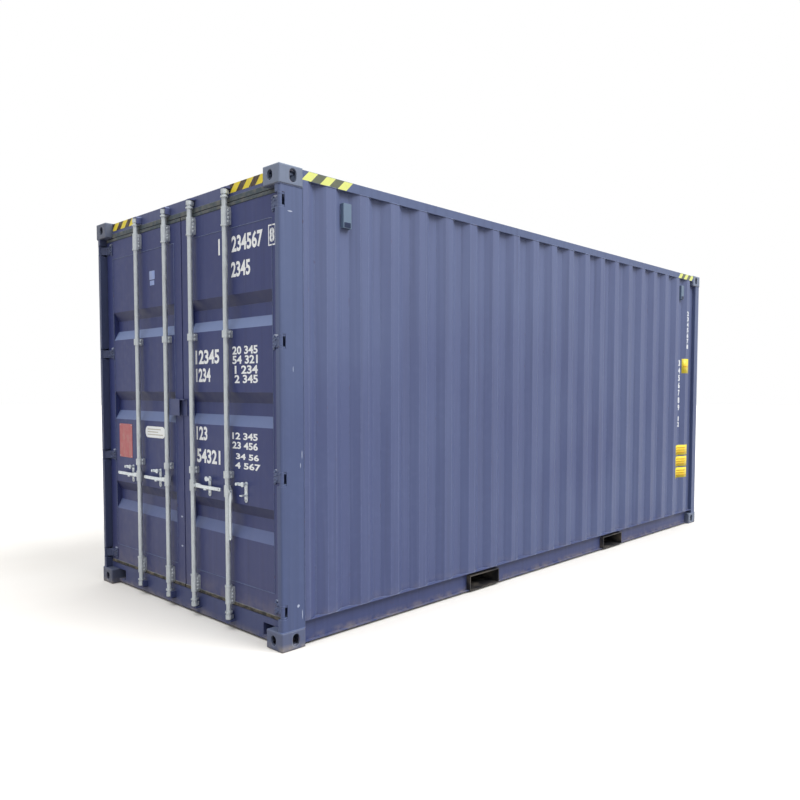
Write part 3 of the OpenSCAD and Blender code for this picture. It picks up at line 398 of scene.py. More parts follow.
def galvanised_steel(name, zinc, rubbed=1.0):
    """Hot-dip galvanised steel.

    Pale zinc with faint spangles about 14 mm across, a white bloom where rain has stood, brown
    stains below the joints, and edges made lighter, partly rubbed bright and partly a painted
    highlight; rubbed is how much lighter the zinc is made, partly by use and partly as a painted
    highlight.
    """
    zinc = [rubbed * part for part in zinc]
    material, tree, shader, place, _ = new_material(name)
    spangle = add(tree, "ShaderNodeTexVoronoi", {"Vector": place, "Scale": 1 / 0.014})
    shine = add(tree, "ShaderNodeSeparateColor", {0: spangle.outputs["Color"]})
    near_edge, rounded = edges(tree, 0.0025, 0.02, 0.2)
    wire(shader, {
        "Base Color": coats(
            tree, rgba(zinc),
            (both(shine, 0.30), scaled(zinc, 0.75)),
            (patches(place, 0.05, 0.48, 0.70, 0.0, 0.45, 4.0), scaled(zinc, 1.25)),
            (patches(place, 0.02, 0.55, 0.80, 0.0, 0.5, 3.0, (1, 1, 6)),
             scaled(zinc, 0.55)),
            (patches(place, 0.03, 0.66, 0.80, 0.0, 0.35, 3.0, (1, 1, 5)),
             rgba(colours().rust)),
            # partly painted highlight: edges made lighter
            (both(near_edge, 0.4), scaled(zinc, 1.45))),
        "Metallic": patches(place, 0.05, 0.45, 0.70, 0.55, 0.20, 4.0),
        "Roughness": patches(place, 0.05, 0.45, 0.70, 0.40, 0.62, 4.0),
        "Normal": relief((patches(place, 0.006), 0.0003), under=rounded)})
    return material


def thin_film(name, tone, scuffed=0.3):
    """Cast vinyl film, ink or enamel: smooth and slightly glossy, dulled by dirt in patches of
    35 mm, with 6 mm flecks where it has lifted."""
    material, tree, shader, place, _ = new_material(name, specular=0.35)
    wire(shader, {
        "Base Color": coats(
            tree, rgba(tone),
            (patches(place, 0.035, 0.5, 0.75, 0.0, scuffed, 4.0, (1, 1, 2)),
             rgba(colours().dust)),
            (patches(place, 0.006, 0.70, 0.76, 0.0, scuffed, 2.0), rgba(colours().frame))),
        "Roughness": patches(place, 0.035, 0.4, 0.75, 0.35, 0.7, 4.0),
        "Normal": relief((patches(place, 0.010, detail=2.0), 0.00015))})
    return material


def extruded_rubber(name, tone, dust=0.4):
    """Extruded rubber: matt and dusty, darker below as painted shade, lighter where its lip faces
    the sky, partly dust and partly painted light, with pores drawn at 3 mm where the real ones
    are under 1 mm."""
    material, tree, shader, place, normal = new_material(name, specular=0.3)
    wire(shader, {
        "Base Color": coats(
            tree, rgba(tone),
            (patches(place, 0.05, 0.4, 0.7, 0.0, dust, 4.0), rgba(colours().dust)),
            # partly painted light: faces that look up are lighter, with some dust
            (reach(normal, "Z", 0.1, 0.8, 0.5), scaled(colours().zinc, 0.6)),
            # painted shade: faces that look down are darker
            (reach(normal, "Z", -0.1, -0.6, 0.8), scaled(tone, 0.35))),
        "Roughness": 0.82,
        "Normal": relief((patches(place, 0.003), 0.0003))})
    return material


def varnished_plywood(name, tone):
    """Hardwood plywood, varnished: warm brown with fibres 6 mm wide that run along the
    container, scuffed pale by forks and boots."""
    material, tree, shader, place, _ = new_material(name)
    fibre = patches(place, 0.006, 0.3, 0.7, detail=5.0, stretch=(1, 40, 1))
    wire(shader, {
        "Base Color": coats(
            tree, scaled(tone, 0.5), (fibre, rgba(tone)),
            (patches(place, 0.07, 0.52, 0.7, 0.0, 0.5, 4.0, (1, 6, 1)),
             rgba(colours().dust))),
        "Roughness": patches(place, 0.07, 0.5, 0.7, 0.45, 0.75, 4.0, (1, 6, 1)),
        "Normal": relief((fibre, 0.0005))})
    return material


def sprayed_bitumen(name, tone):
    """Bitumen sprayed thick on steel: near black, with lumps of 12 mm and pale road dust."""
    material, tree, shader, place, _ = new_material(name)
    wire(shader, {
        "Base Color": coats(tree, rgba(tone), (
            patches(place, 0.09, 0.45, 0.7, 0.0, 0.25, 4.0), rgba(colours().dust))),
        "Roughness": patches(place, 0.09, 0.45, 0.7, 0.45, 0.85, 4.0),
        "Normal": relief((patches(place, 0.012), 0.0015))})
    return material


def rolled_floor_paint():
    """Matt floor paint, rolled: even and pale, with a faint cloudiness; darker to the light that
    it throws back, as bare ground is."""
    material, tree, shader, place, _ = new_material("studio_floor_rolled_paint")
    path = add(tree, "ShaderNodeLightPath").outputs
    seen = add(tree, "ShaderNodeMath", {0: path["Is Camera Ray"], 1: path["Is Glossy Ray"]},
               operation="MAXIMUM")
    pale = coats(tree, rgba(linear("E4E1DC")),
                 (patches(place, 1.4, 0.3, 0.7), rgba(linear("E9E7E3"))))
    wire(shader, {"Base Color": coats(tree, rgba(linear("A39D94")), (seen, pale)),
                  "Roughness": 0.9})
    return material


# Each finish: how it is made, its real name, its colour and its settings
FINISHES = {
    "side_paint": (weathered_paint, "sprayed_paint_corrugated_steel", "side", dict(
        chips=0.3, splash=0.22, wear=0.010, lined="X", near_shade=0.8)),
    "end_paint": (weathered_paint, "sprayed_paint_front_wall", "side", dict(
        chips=0.3, splash=0.22, wear=0.008, lined="Y")),
    # leaves: upward faces much lighter, painted sky light on the grooves' lower slopes
    "door_paint": (weathered_paint, "sprayed_paint_door_steel", "door", dict(
        chips=0.3, splash=0.30, wear=0.006, lined="Y", chalk_and_sky_light=1.0, film=0.05, paling_upward=0.15,
        chalk_and_light_gain=4.6)),
    "frame_paint": (weathered_paint, "sprayed_paint_frame_steel", "frame", dict(
        splash=0.10, wear=0.005, near_shade=0.5, far_shade=0.8)),
    "hood_paint": (weathered_paint, "sprayed_paint_hood_steel", "hood", dict(
        chips=0.3, splash=0.05, wear=0.003, chalk_and_sky_light=0.4)),
    "mesh_paint": (weathered_paint, "dipped_paint_hood_mesh", "mesh", dict(
        chips=0.0, splash=0.02, wear=0.0005, chalk_and_sky_light=0.2, paling_upward=0.0)),
    "gear_paint": (weathered_paint, "brushed_paint_forged_steel", "gear", dict(
        chips=0.6, splash=0.06, wear=0.003, chalk_and_sky_light=0.9)),
    "casting_paint": (weathered_paint, "brushed_paint_cast_steel", "casting", dict(
        chips=1.3, splash=0.05, wear=0.009, chalk_and_sky_light=0.35, near_shade=1.0, paling_upward=1.0,
        far_shade=0.8)),
    "roof_paint": (weathered_paint, "sprayed_paint_roof_steel", "roof", dict(
        splash=0.02, wear=0.006, lined="Z", dusty=0.22, chalk_and_sky_light=0.0, paling_upward=0.2)),
    "galvanised_steel": (galvanised_steel, "galvanised_steel_hot_dipped", "zinc", {}),
    # partly painted highlight: handles and latches are a lighter copy of the zinc
    "handled_zinc": (galvanised_steel, "galvanised_steel_rubbed_bright", "zinc", dict(rubbed=1.3)),
    "seal_rubber": (extruded_rubber, "extruded_rubber_seal", "rubber", {}),
    "seal_lip": (extruded_rubber, "extruded_rubber_lip_dusty", "lip", dict(dust=0.25)),
    "floor_plywood": (varnished_plywood, "hardwood_plywood_varnished", "board", {}),
    "underbody_coating": (sprayed_bitumen, "bitumen_underbody_sprayed", "bitumen", {}),
    "yellow_film": (thin_film, "cast_vinyl_yellow", "yellow", dict(scuffed=0.20)),
    "black_film": (thin_film, "cast_vinyl_black", "black", {}),
    # partly painted light: side films paler than end films, for bleaching and for the lamp light
    "bleached_film": (thin_film, "cast_vinyl_yellow_bleached", "bleached", dict(scuffed=0.15)),
    "faded_film": (thin_film, "cast_vinyl_black_faded", "faded", dict(scuffed=0.20)),
    "white_film": (thin_film, "cast_vinyl_white", "white", dict(scuffed=0.10)),
    "amber_ink": (thin_film, "screen_printed_ink_amber", "amber", dict(scuffed=0.2)),
    "grey_ink": (thin_film, "screen_printed_ink_grey", "grey", dict(scuffed=0.2)),
    "pale_film": (thin_film, "cast_vinyl_pale_blue", "pale", {}),
    "primer": (thin_film, "sprayed_primer_scraped", "primer", dict(scuffed=0.4)),
    "red_enamel": (thin_film, "stove_enamel_red_plate", "red", dict(scuffed=0.35)),
}
MADE = {}

# Finish of each CAD node by words in its name; the last words that fit hold
NODE_FINISHES = {
    "side_wall": "side_paint", "front_end_wall": "end_paint", "roof_panel": "roof_paint",
    "roof_corner_plates": "roof_paint", "corner_castings": "casting_paint",
    "left_door": "door_paint", "right_door": "door_paint", "hinge_blades": "frame_paint",
    "customs_plate": "gear_paint", "door_seal": "seal_rubber", "cam_keepers": "gear_paint",
    # partly painted shade: the bottom rails take the darker gear paint for shade under the flange
    "bottom_side_rail": "gear_paint", "rod_bearings": "galvanised_steel",
    "handle": "handled_zinc", "latch": "handled_zinc", "lock_rod": "galvanised_steel",
    "floor_boards": "floor_plywood", "cross_members": "underbody_coating",
    "fork_pockets": "underbody_coating", "ventilator_hoods": "hood_paint",
    "door_header": "gear_paint", "door_sill": "gear_paint",
}


def finish(name):
    """The material of a finish, made once."""
    if name not in MADE:
        make, real_name, tone, settings = FINISHES[name]
        MADE[name] = make(real_name, getattr(colours(), tone), **settings)
    return MADE[name]


def node_finish(node):
    """Finish of a CAD node: the last entry whose words are in the node's name."""
    found = [f for words, f in NODE_FINISHES.items() if words in node]
    return found[-1] if found else "frame_paint"


# Modelling

def activate(*pieces):
    """Selects these objects alone and makes the first one active."""
    bpy.ops.object.select_all(action="DESELECT")
    for piece in pieces:
        piece.select_set(True)
    bpy.context.view_layer.objects.active = pieces[0]


def settle():
    """Puts the active object's place, turn and scale into its mesh and returns it."""
    piece = bpy.context.object
    activate(piece)
    bpy.ops.object.transform_apply(location=True, rotation=True, scale=True)
    return piece


def block(low, high):
    """A box between two corners, the start of a piece."""
    low, high = Vector(low), Vector(high)
    bpy.ops.mesh.primitive_cube_add(size=1, location=(low + high) / 2, scale=high - low)
    return settle()


def disc(radius, depth, sides=16):
    """A short cylinder that stands on the origin along +Z, the start of a piece."""
    bpy.ops.mesh.primitive_cylinder_add(
        vertices=sides, radius=radius, depth=depth, location=(0, 0, depth / 2))
    return settle()


def as_mesh(piece):
    """Turns a curve or a text into a mesh."""
    activate(piece)
    bpy.ops.object.convert(target="MESH")
    return bpy.context.object


def drawn_line(points):
    """A curve of straight runs through points, the start of a piece."""
    bpy.ops.curve.primitive_nurbs_path_add()
    run = bpy.context.object
    run.location = (0, 0, 0)
    run.data.dimensions = "3D"
    run.data.splines.clear()
    spline = run.data.splines.new("POLY")
    spline.points.add(len(points) - 1)
    for point, target in zip(spline.points, points):
        point.co = (*target, 1)
    return run


@contextmanager
def shaping(piece, kind="FACE"):
    """Edit mode on one piece, nothing selected; gives a function that selects by a test."""
    activate(piece)
    bpy.ops.object.mode_set(mode="EDIT")
    bpy.ops.mesh.select_mode(type=kind)
    bpy.ops.mesh.select_all(action="DESELECT")

    def select(test):
        mesh = bmesh.from_edit_mesh(piece.data)
        for part in {"FACE": mesh.faces, "EDGE": mesh.edges}[kind]:
            part.select_set(bool(test(part)))
        mesh.select_flush_mode()
        bmesh.update_edit_mesh(piece.data)

    yield select
    bpy.ops.object.mode_set(mode="OBJECT")


def run_of(edge):
    """From one end of an edge to the other."""
    return edge.verts[1].co - edge.verts[0].co


def bevel_edges(piece, width, segments, test):
    """Bevels the edges that pass a test."""
    with shaping(piece, "EDGE") as select:
        select(test)
        bpy.ops.mesh.bevel(offset=width, segments=segments, affect="EDGES")
    return piece


def plate(low, high, corner, axis=1):
    """A flat plate with round corners, thin along an axis, its edges broken."""
    piece = block(low, high)
    bevel_edges(piece, corner, 4, lambda e: abs(run_of(e).normalized()[axis]) > 0.99)
    thin = (Vector(high) - Vector(low))[axis]
    return bevel_edges(piece, thin / 4, 1, lambda e: abs(run_of(e)[axis]) < 1e-6
                       and len(e.link_faces) == 2 and e.calc_face_angle(0) > 1.2)


def joined(pieces):
    """Joins finished meshes into one piece."""
    activate(*pieces)
    if len(pieces) > 1:
        bpy.ops.object.join()
    return bpy.context.object


def copies(pattern, places):
    """Copies a modelled pattern to each place, each copy with its own mesh, and joins them."""
    made = []
    for place in places:
        copy = pattern.copy()
        copy.data = pattern.data.copy()
        copy.data.transform(place)
        bpy.context.scene.collection.objects.link(copy)
        made.append(copy)
    bpy.data.objects.remove(pattern)
    return joined(made)


def keep(piece, name, body, finish_name):
    """Names a finished piece, gives it its finish and lets it ride on its body."""
    piece.name = piece.data.name = name
    piece.data.materials.clear()
    piece.data.materials.append(finish(finish_name))
    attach(piece, body)


def bead(path, radius, closed=False, seed=1):
    """A weld bead along a path, its width uneven as a hand-held torch leaves it."""
    step = 0.018
    points = []
    for start, end in zip(path, path[1:] + (path[:1] if closed else [])):
        start, end = Vector(start), Vector(end)
        count = max(1, round((end - start).length / step))
        points += [start.lerp(end, i / count) for i in range(count)]
    if not closed:
        points.append(Vector(path[-1]))
    run = drawn_line(points)
    dice = random.Random(seed)
    for point in run.data.splines[0].points:
        point.radius = dice.uniform(0.75, 1.15)
    run.data.splines[0].use_cyclic_u = closed
    run.data.bevel_depth = radius
    run.data.bevel_resolution = 1
    run.data.use_fill_caps = not closed
    piece = as_mesh(run)
    bpy.ops.object.shade_smooth()
    return piece


def at(x, y, z, out=(0, -1, 0)):
    """A place on a surface: +Z goes outward, +X along the surface and +Y upwards."""
    out = Vector(out)
    up = Vector((0, 0, 1)) if abs(out.z) < 0.9 else Vector((0, 1, 0))
    turn = Matrix((up.cross(out), up, out)).transposed().to_4x4()
    return Matrix.Translation((x, y, z)) @ turn


def hex_bolt(across):
    """Pressed hexagon head on its washer, seated on the origin and pointing along +Z."""
    washer = disc(across * 0.72, across * 0.12, 20)
    head = disc(across / math.sqrt(3), across * 0.5, 6)
    bevel_edges(head, across * 0.07, 1, lambda e: min(v.co.z for v in e.verts) > across * 0.4)
    return joined([washer, head])


def rivet(diameter):
    """Domed rivet head, seated on the origin and pointing along +Z."""
    return bevel_edges(disc(diameter / 2, diameter * 0.3, 14), diameter * 0.24, 3,
                       lambda e: min(v.co.z for v in e.verts) > diameter * 0.2)


def profile(first, last):
    """Outer line of the side wall's corrugation between two places along the container."""
    corners = ((0, 0), (SIDE_FLAT, 0), (SIDE_FLAT + SIDE_SLOPE, SIDE_DEPTH),
               (SIDE_PITCH - SIDE_SLOPE, SIDE_DEPTH))
    begin = math.floor((first - SIDE_FIRST) / SIDE_PITCH) - 1
    end = math.ceil((last - SIDE_FIRST) / SIDE_PITCH) + 1
    points = [(SIDE_FIRST + k * SIDE_PITCH + y, depth)
              for k in range(begin, end) for y, depth in corners]

    def with_depth(y):
        for (y0, d0), (y1, d1) in zip(points, points[1:]):
            if y0 <= y <= y1:
                return y, d0 + (d1 - d0) * (y - y0) / (y1 - y0)

    return [with_depth(first), *(p for p in points if first < p[0] < last), with_depth(last)]


# Pieces

class DressNodes(bpy.types.Operator):
    """Gives every CAD node the finish of its real surface"""
    bl_idname = "container.dress_nodes"
    bl_label = "Dress the CAD nodes"

    def execute(self, context):
        for name, node in frame["nodes"].items():
            node.data.materials.clear()
            node.data.materials.append(finish(node_finish(name)))
        return {"FINISHED"}


class AddWelds(bpy.types.Operator):
    """Adds the weld beads between sheets, rails, posts and castings"""
    bl_idname = "container.add_welds"
    bl_label = "Weld beads"

    def walls(self):
        """Runs along the side sheets, at the posts and round the hoods, each with its width."""
        low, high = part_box("ventilator_hoods")
        line = profile(REAR_FOOT, FRONT_FOOT)
        for side in (-1, 1):
            sheet = side * (SIDE_PLANE - SIDE_DEPTH)
            for level in (RAIL_TOP, WALL_TOP):
                yield 1.0, [(side * (SIDE_PLANE - d), y, level) for y, d in line]
            for x, y in ((side * SIDE_PLANE, REAR_FOOT), (sheet, FRONT_FOOT)):
                yield 0.8, [(x, y, RAIL_TOP), (x, y, WALL_TOP)]
            for near, far in ((low.y, low.y + HOOD_WIDTH), (high.y, high.y - HOOD_WIDTH)):
                yield 0.7, [(sheet, near, low.z), (sheet, near, high.z),
                            (sheet, far, high.z), (sheet, far, low.z)]

    def ends(self):
        """Runs along the front wall and the header, and where posts stand on castings."""
        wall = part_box("front_end_wall")[1].x
        edge = CAD_HIGH.y - FACE_SETBACK
        for level in (RAIL_TOP, WALL_TOP):
            yield 1.0, [(-wall, END_PLANE, level), (wall, END_PLANE, level)]
        for side in (-1, 1):
            yield 0.8, [(side * SILL_HALF, END_PLANE + FACE_SETBACK, level)
                        for level in (RAIL_TOP, WALL_TOP)]
            for level in (CASTING_TOP, CASTING_UNDER):
                for face, inner, foot in ((-edge, OPENING_HALF, REAR_FOOT),
                                          (edge, SILL_HALF, FRONT_FOOT)):
                    yield 1.0, [(side * inner, face, level), (side * SIDE_PLANE, face, level),
                                (side * SIDE_PLANE, foot, level)]
            for x, low, high in ((HEADER_HALF, CASTING_UNDER, FRAME_TOP),
                                 (OPENING_HALF, CASTING_TOP, RAIL_TOP)):
                yield 1.0, [(side * x, LEAF_FACE, low), (side * x, LEAF_FACE, high)]

    def roof(self):
        """Runs round the roof sheet."""
        end = CAD_HIGH.y - CASTING_LENGTH
        for x in (-ROOF_HIGH.x, ROOF_HIGH.x):
            yield 1.0, [(x, -end, ROOF_HIGH.z), (x, end, ROOF_HIGH.z)]
        for y in (ROOF_LOW.y, ROOF_HIGH.y):
            yield 1.0, [(-HEADER_HALF, y, ROOF_HIGH.z), (HEADER_HALF, y, ROOF_HIGH.z)]

    def execute(self, context):
        radius = sizes().bead / 2
        for name, runs, tone in (("side_wall_beads", self.walls, "side_paint"),
                                 ("end_beads", self.ends, "frame_paint"),
                                 ("roof_beads", self.roof, "roof_paint")):
            keep(joined([bead(path, radius * width) for width, path in runs()]), name,
                 "container", tone)
        for leaf in ("left", "right"):
            low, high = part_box(f"{leaf}_door_panel")
            loop = [(x, LEAF_FACE, z) for x, z in (
                (low.x, low.z), (high.x, low.z), (high.x, high.z), (low.x, high.z))]
            keep(bead(loop, radius * 0.8, True, 5), f"{leaf}_panel_bead", f"{leaf}_door",
                 "frame_paint")
        return {"FINISHED"}


class AddFasteners(bpy.types.Operator):
    """Adds the bolts of the locking gear and hinges, and the floor screws"""
    bl_idname = "container.add_fasteners"
    bl_label = "Bolts, rivets and screws"

    # For the outer and the inner bearings of a rod: which levels, how far beside the rod the
    # bolts through the leaf are and their heights, and the same for those in the sleeve's side
    BEARING_BOLTS = (
        ((0, 3), 0.038, (-0.040, 0, 0.040), SLEEVE, (-0.036, -0.012, 0.012, 0.036)),
        ((1, 2), 0.034, (-0.013, 0.013), BEARING, (-0.012, 0.012)))
    HINGE_RIVETS = [(x, level + b) for x in (1.104, 1.134) for level in HINGE_LEVELS
                    for b in (-0.017, 0.017)]
    SCREW_LINES = (-7.6, -5.4, -3.2, -1.1, 1.1, 3.2, 5.4, 7.6)

    def execute(self, context):
        face = LEAF_FACE - GEAR_PLATE
        for leaf, numbers, side in (("left", (1, 2), -1), ("right", (3, 4), 1)):
            bolts, heads = [], []
            for x in (ROD_LINES[n] for n in numbers):
                for levels, beside, rise, out, flank_rise in self.BEARING_BOLTS:
                    for level in (BEARING_LEVELS[k] for k in levels):
                        bolts += [at(x - beside, face, level + b) for b in rise]
                        bolts += [at(x + out, FLANK, level + b, (1, 0, 0)) for b in flank_rise]
                heads += [at(x + side * CATCH_OFFSET, face, level) for level in CATCH_RIVETS]
            hinges = [at(side * x, LEAF_FACE - BLADE, z) for x, z in self.HINGE_RIVETS]
            for name, pattern, places, tone in (
                    ("gear_bolts", hex_bolt(sizes().bolt * 0.62), bolts, "galvanised_steel"),
                    ("catch_rivets", rivet(sizes().rivet), heads, "handled_zinc"),
                    ("hinge_rivets", rivet(sizes().rivet * 1.5), hinges, "frame_paint")):
                keep(copies(pattern, places), f"{leaf}_{name}", f"{leaf}_door", tone)
        low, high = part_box("floor_boards")
        margin, spaces = 0.03, 18
        rows = [low.y + margin + k * (high.y - low.y - 2 * margin) / spaces
                for k in range(spaces + 1)]
        screws = [at(x * high.x / 8, y, high.z - 0.0005, (0, 0, 1))
                  for y in rows for x in self.SCREW_LINES]
        keep(copies(rivet(0.012), screws), "floor_screws", "container", "galvanised_steel")
        return {"FINISHED"}


class AddHoodMouths(bpy.types.Operator):
    """Adds the slatted mouths at the foot of the ventilator hoods, near black as painted shade"""
    bl_idname = "container.add_hood_mouths"
    bl_label = "Hood mouths"

    def execute(self, context):
        low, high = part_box("ventilator_hoods")
        half, thick, rim, top, slat = HOOD_WIDTH / 2 - 0.006, 0.001, 0.003, 0.036, 0.004
        mouths, slats = [], []
        for side in (-1, 1):
            face, front = (sorted((side * (high.x + k * thick), side * (high.x + (k + 1) * thick)))
                           for k in (0, 1))
            for centre in (low.y + HOOD_WIDTH / 2, high.y - HOOD_WIDTH / 2):
                mouths.append(plate((face[0], centre - half, low.z + rim),
                                    (face[1], centre + half, low.z + top), 0.004, 0))
                slats += [plate((front[0], centre - half + rim, low.z + level),
                                (front[1], centre + half - rim, low.z + level + slat),
                                0.0015, 0) for level in (0.012, 0.023)]
        # painted shade: mouths and slats near black for the opening behind the mesh
        keep(joined(mouths), "hood_mouths", "container", "mesh_paint")
        keep(joined(slats), "hood_slats", "container", "mesh_paint")
        return {"FINISHED"}


class AddHingePads(bpy.types.Operator):
    """Adds the ribbed pads that back the hinge blades on the leaves"""
    bl_idname = "container.add_hinge_pads"
    bl_label = "Hinge pads"

    def pad(self, low_x, high_x, half=0.045, thick=0.006, rib=0.005):
        """One pad at height zero: a plate with four raised ribs across it."""
        base = plate((low_x, LEAF_FACE - thick, -half), (high_x, LEAF_FACE, half), 0.006)
        ribs = [plate((low_x + 0.001, LEAF_FACE - thick - 0.004, level - rib),
                      (high_x - 0.001, LEAF_FACE - thick, level + rib), 0.003)
                for level in (-0.030, -0.010, 0.010, 0.030)]
        return joined([base, *ribs])

    def execute(self, context):
        for leaf, low_x, high_x in (("left", -1.089, -1.069), ("right", 1.069, 1.089)):
            pads = copies(self.pad(low_x, high_x),
                          [Matrix.Translation((0, 0, level)) for level in HINGE_LEVELS])
            keep(pads, f"{leaf}_hinge_pads", f"{leaf}_door", "frame_paint")
        return {"FINISHED"}


class AddSealLips(bpy.types.Operator):
    """Adds the rubber lips that cover the gaps above and below the leaves"""
    bl_idname = "container.add_seal_lips"
    bl_label = "Seal lips"

    def lip(self, low_x, high_x, base, top, back, proud=0.004):
        """A strip that stands proud of the leaves, its front edges rounded."""
        strip = block((low_x, LEAF_FACE - proud, base), (high_x, LEAF_FACE + back, top))
        return bevel_edges(strip, proud * 0.9, 3, lambda e: abs(run_of(e).normalized().x) > 0.99
                           and e.verts[0].co.y < LEAF_FACE)

    def execute(self, context):
        tall = sizes().lip
        # the top lip laps 0.4 of its height over the leaf, the bottom one hangs 7 mm below it
        for leaf in ("left", "right"):
            low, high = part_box(f"{leaf}_door_frame")
            for name, base, tone in (("top", high.z - tall * 0.4, "seal_lip"),
                                     ("bottom", low.z - 0.007, "seal_rubber")):
                top = min(base + tall, CASTING_UNDER - 0.003)
                keep(self.lip(low.x, high.x, base, top, 0.010), f"{leaf}_{name}_seal_lip",
                     f"{leaf}_door", tone)
        half = HEADER_HALF - 0.001
        keep(self.lip(-half, half, CASTING_UNDER, CASTING_UNDER + 1.4 * tall, 0.001),
             "header_seal_lip", "container", "seal_lip")
        return {"FINISHED"}


class AddHazardFilms(bpy.types.Operator):
    """Adds the slanted yellow and dark films at the upper corners"""
    bl_idname = "container.add_hazard_films"
    bl_label = "Hazard films"

    # Lengths of the films on the ends and on the side rails, and where their middles are
    END_RUN, END_PLACES = 0.36, (-0.884, 0.795)
    SIDE_RUN, SIDE_PLACES = 0.42, (-2.648, 2.665)

    def film(self, place, run, rise, pitch, tones, slanted=False):
        """A film whose stripes lean to the right, the first yellow one at its lower left corner;
        a slanted film ends with its first and third yellow stripes."""
        piece = block((-run / 2, -rise / 2, 0), (run / 2, rise / 2, sizes().film))
        lean = Vector((1, -1, 0)).normalized()
        first = (rise - run) / 2

        def cut(k, **sides):
            bpy.ops.mesh.select_all(action="SELECT")
            bpy.ops.mesh.bisect(plane_co=(first + k * pitch / 2, 0, 0), plane_no=lean, **sides)

        with shaping(piece):
            for k in range(math.ceil(2 * (run + rise) / pitch)):
                cut(k)
            if slanted:
                cut(0, use_fill=True, clear_inner=True)
                cut(5, use_fill=True, clear_outer=True)
        piece.data.materials.clear()
        for tone in tones:
            piece.data.materials.append(finish(tone))
        for polygon in piece.data.polygons:
            stripe = (polygon.center.x - polygon.center.y - first) / (pitch / 2)
            polygon.material_index = math.floor(stripe) % 2
        piece.data.transform(place)
        return piece

    def execute(self, context):
        level = (WALL_TOP + FRAME_TOP) / 2
        rise = FRAME_TOP - WALL_TOP - 0.004
        pitch = sizes().stripe
        ends = [place for x in self.END_PLACES for place in (
            at(x, LEAF_FACE, level + 0.003),
            at(-x, END_PLANE + FACE_SETBACK, level, (0, 1, 0)))]
        rails = [at(side * SIDE_PLANE, side * y, level, (side, 0, 0))
                 for y in self.SIDE_PLACES for side in (1, -1)]
        films = [(place, self.END_RUN, rise, pitch * 0.99, ("yellow_film", "black_film"))
                 for place in ends]
        films += [(place, self.SIDE_RUN, rise, pitch, ("bleached_film", "faded_film"), True)
                  for place in rails]
        for k, film in enumerate(films, 1):
            piece = self.film(*film)
            piece.name = f"hazard_film_{k}"
            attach(piece, "container")
        return {"FINISHED"}


class AddNumerals(bpy.types.Operator):
    """Adds rows of plain numerals cut from white film"""
    bl_idname = "container.add_numerals"
    bl_label = "Numerals"

    # Rows on the right leaf: digits, left and right edges, lower and upper edges
    LEAF_ROWS = (
        ("234567", 0.630, 0.967, 2.455, 2.560), ("1", 0.474, 0.492, 2.457, 2.562),
        ("8", 1.040, 1.086, 2.466, 2.552), ("2345", 0.622, 0.834, 2.297, 2.395),
        ("12345", 0.171, 0.469, 1.750, 1.846), ("1234", 0.176, 0.360, 1.628, 1.722),
        ("20 345", 0.625, 0.905, 1.803, 1.856), ("54 321", 0.625, 0.905, 1.742, 1.796),
        ("1 234", 0.650, 0.905, 1.678, 1.732), ("2 345", 0.648, 0.905, 1.619, 1.672),
        ("123", 0.171, 0.310, 1.230, 1.325), ("54321", 0.174, 0.468, 1.075, 1.171),
        ("12 345", 0.614, 0.897, 1.256, 1.301), ("23 456", 0.614, 0.897, 1.195, 1.242),
        ("34 56", 0.654, 0.908, 1.128, 1.168), ("4 567", 0.643, 0.924, 1.067, 1.110))
    # How wide a 1 is beside the other digits, and how much of its step a digit in a column fills
    ONE, FILLED = 0.45, 0.80

    def row(self, digits, place, width, height):
        """One row of digits stretched over a rectangle, seated on the place's surface."""
        bpy.ops.object.text_add()
        text = bpy.context.object
        text.data.body = digits
        text.data.resolution_u = 3
        text.data.offset = 0.030
        text.data.extrude = 0.5
        piece = as_mesh(text)
        xs = [v.co.x for v in piece.data.vertices]
        ys = [v.co.y for v in piece.data.vertices]
        centre = Vector(((min(xs) + max(xs)) / 2, (min(ys) + max(ys)) / 2, -0.5))
        fit = Matrix.Diagonal((width / (max(xs) - min(xs)), height / (max(ys) - min(ys)),
                               sizes().film, 1))
        piece.data.transform(place @ fit @ Matrix.Translation(-centre))
        return piece

    def column(self, digits, place, width, low, high):
        """Digits one below another; place is where height zero of the column lies."""
        step = (high - low) / len(digits)
        return [self.row(digit, place @ Matrix.Translation((0, high - (k + 0.5) * step, 0)),
                         width * (self.ONE if digit == "1" else 1), step * self.FILLED)
                for k, digit in enumerate(digits)]

    def execute(self, context):
        rows = [self.row(digits, at((x0 + x1) / 2, LEAF_FACE, (z0 + z1) / 2), x1 - x0, z1 - z0)
                for digits, x0, x1, z0, z1 in self.LEAF_ROWS]
        keep(joined(rows), "right_leaf_numerals", "right_door", "white_film")
        ring = block((1.026, LEAF_FACE - sizes().film, 2.446), (1.100, LEAF_FACE, 2.572))
        with shaping(ring) as select:
            select(lambda f: abs(f.normal.y) > 0.9)
            bpy.ops.mesh.inset(thickness=0.008)
            bpy.ops.mesh.bridge_edge_loops()
        keep(ring, "numeral_frame", "right_door", "white_film")

        for side, name in ((-1, "left"), (1, "right")):
            flat = at(side * SIDE_PLANE, side * (LABELLED_FLAT + SIDE_FLAT / 2), 0, (side, 0, 0))
            keep(joined(self.column("2345678", flat, 0.040, 2.040, 2.480)),
                 f"side_numerals_{name}", "container", "white_film")
        recess = at(SIDE_PLANE - SIDE_DEPTH,
                    LABELLED_FLAT - (SIDE_PITCH - SIDE_FLAT) / 2 + 0.014, 0, (1, 0, 0))
        lower = (self.column("3456789", recess, 0.042, 1.330, 1.923)
                 + self.column("12", recess, 0.042, 1.147, 1.277))
        keep(joined(lower), "side_numerals_lower", "container", "white_film")
        keep(self.row("234567", at(0, -2.80, ROOF_HIGH.z, (0, 0, 1)), 0.60, 0.12),
             "roof_numerals", "container", "white_film")
        return {"FINISHED"}


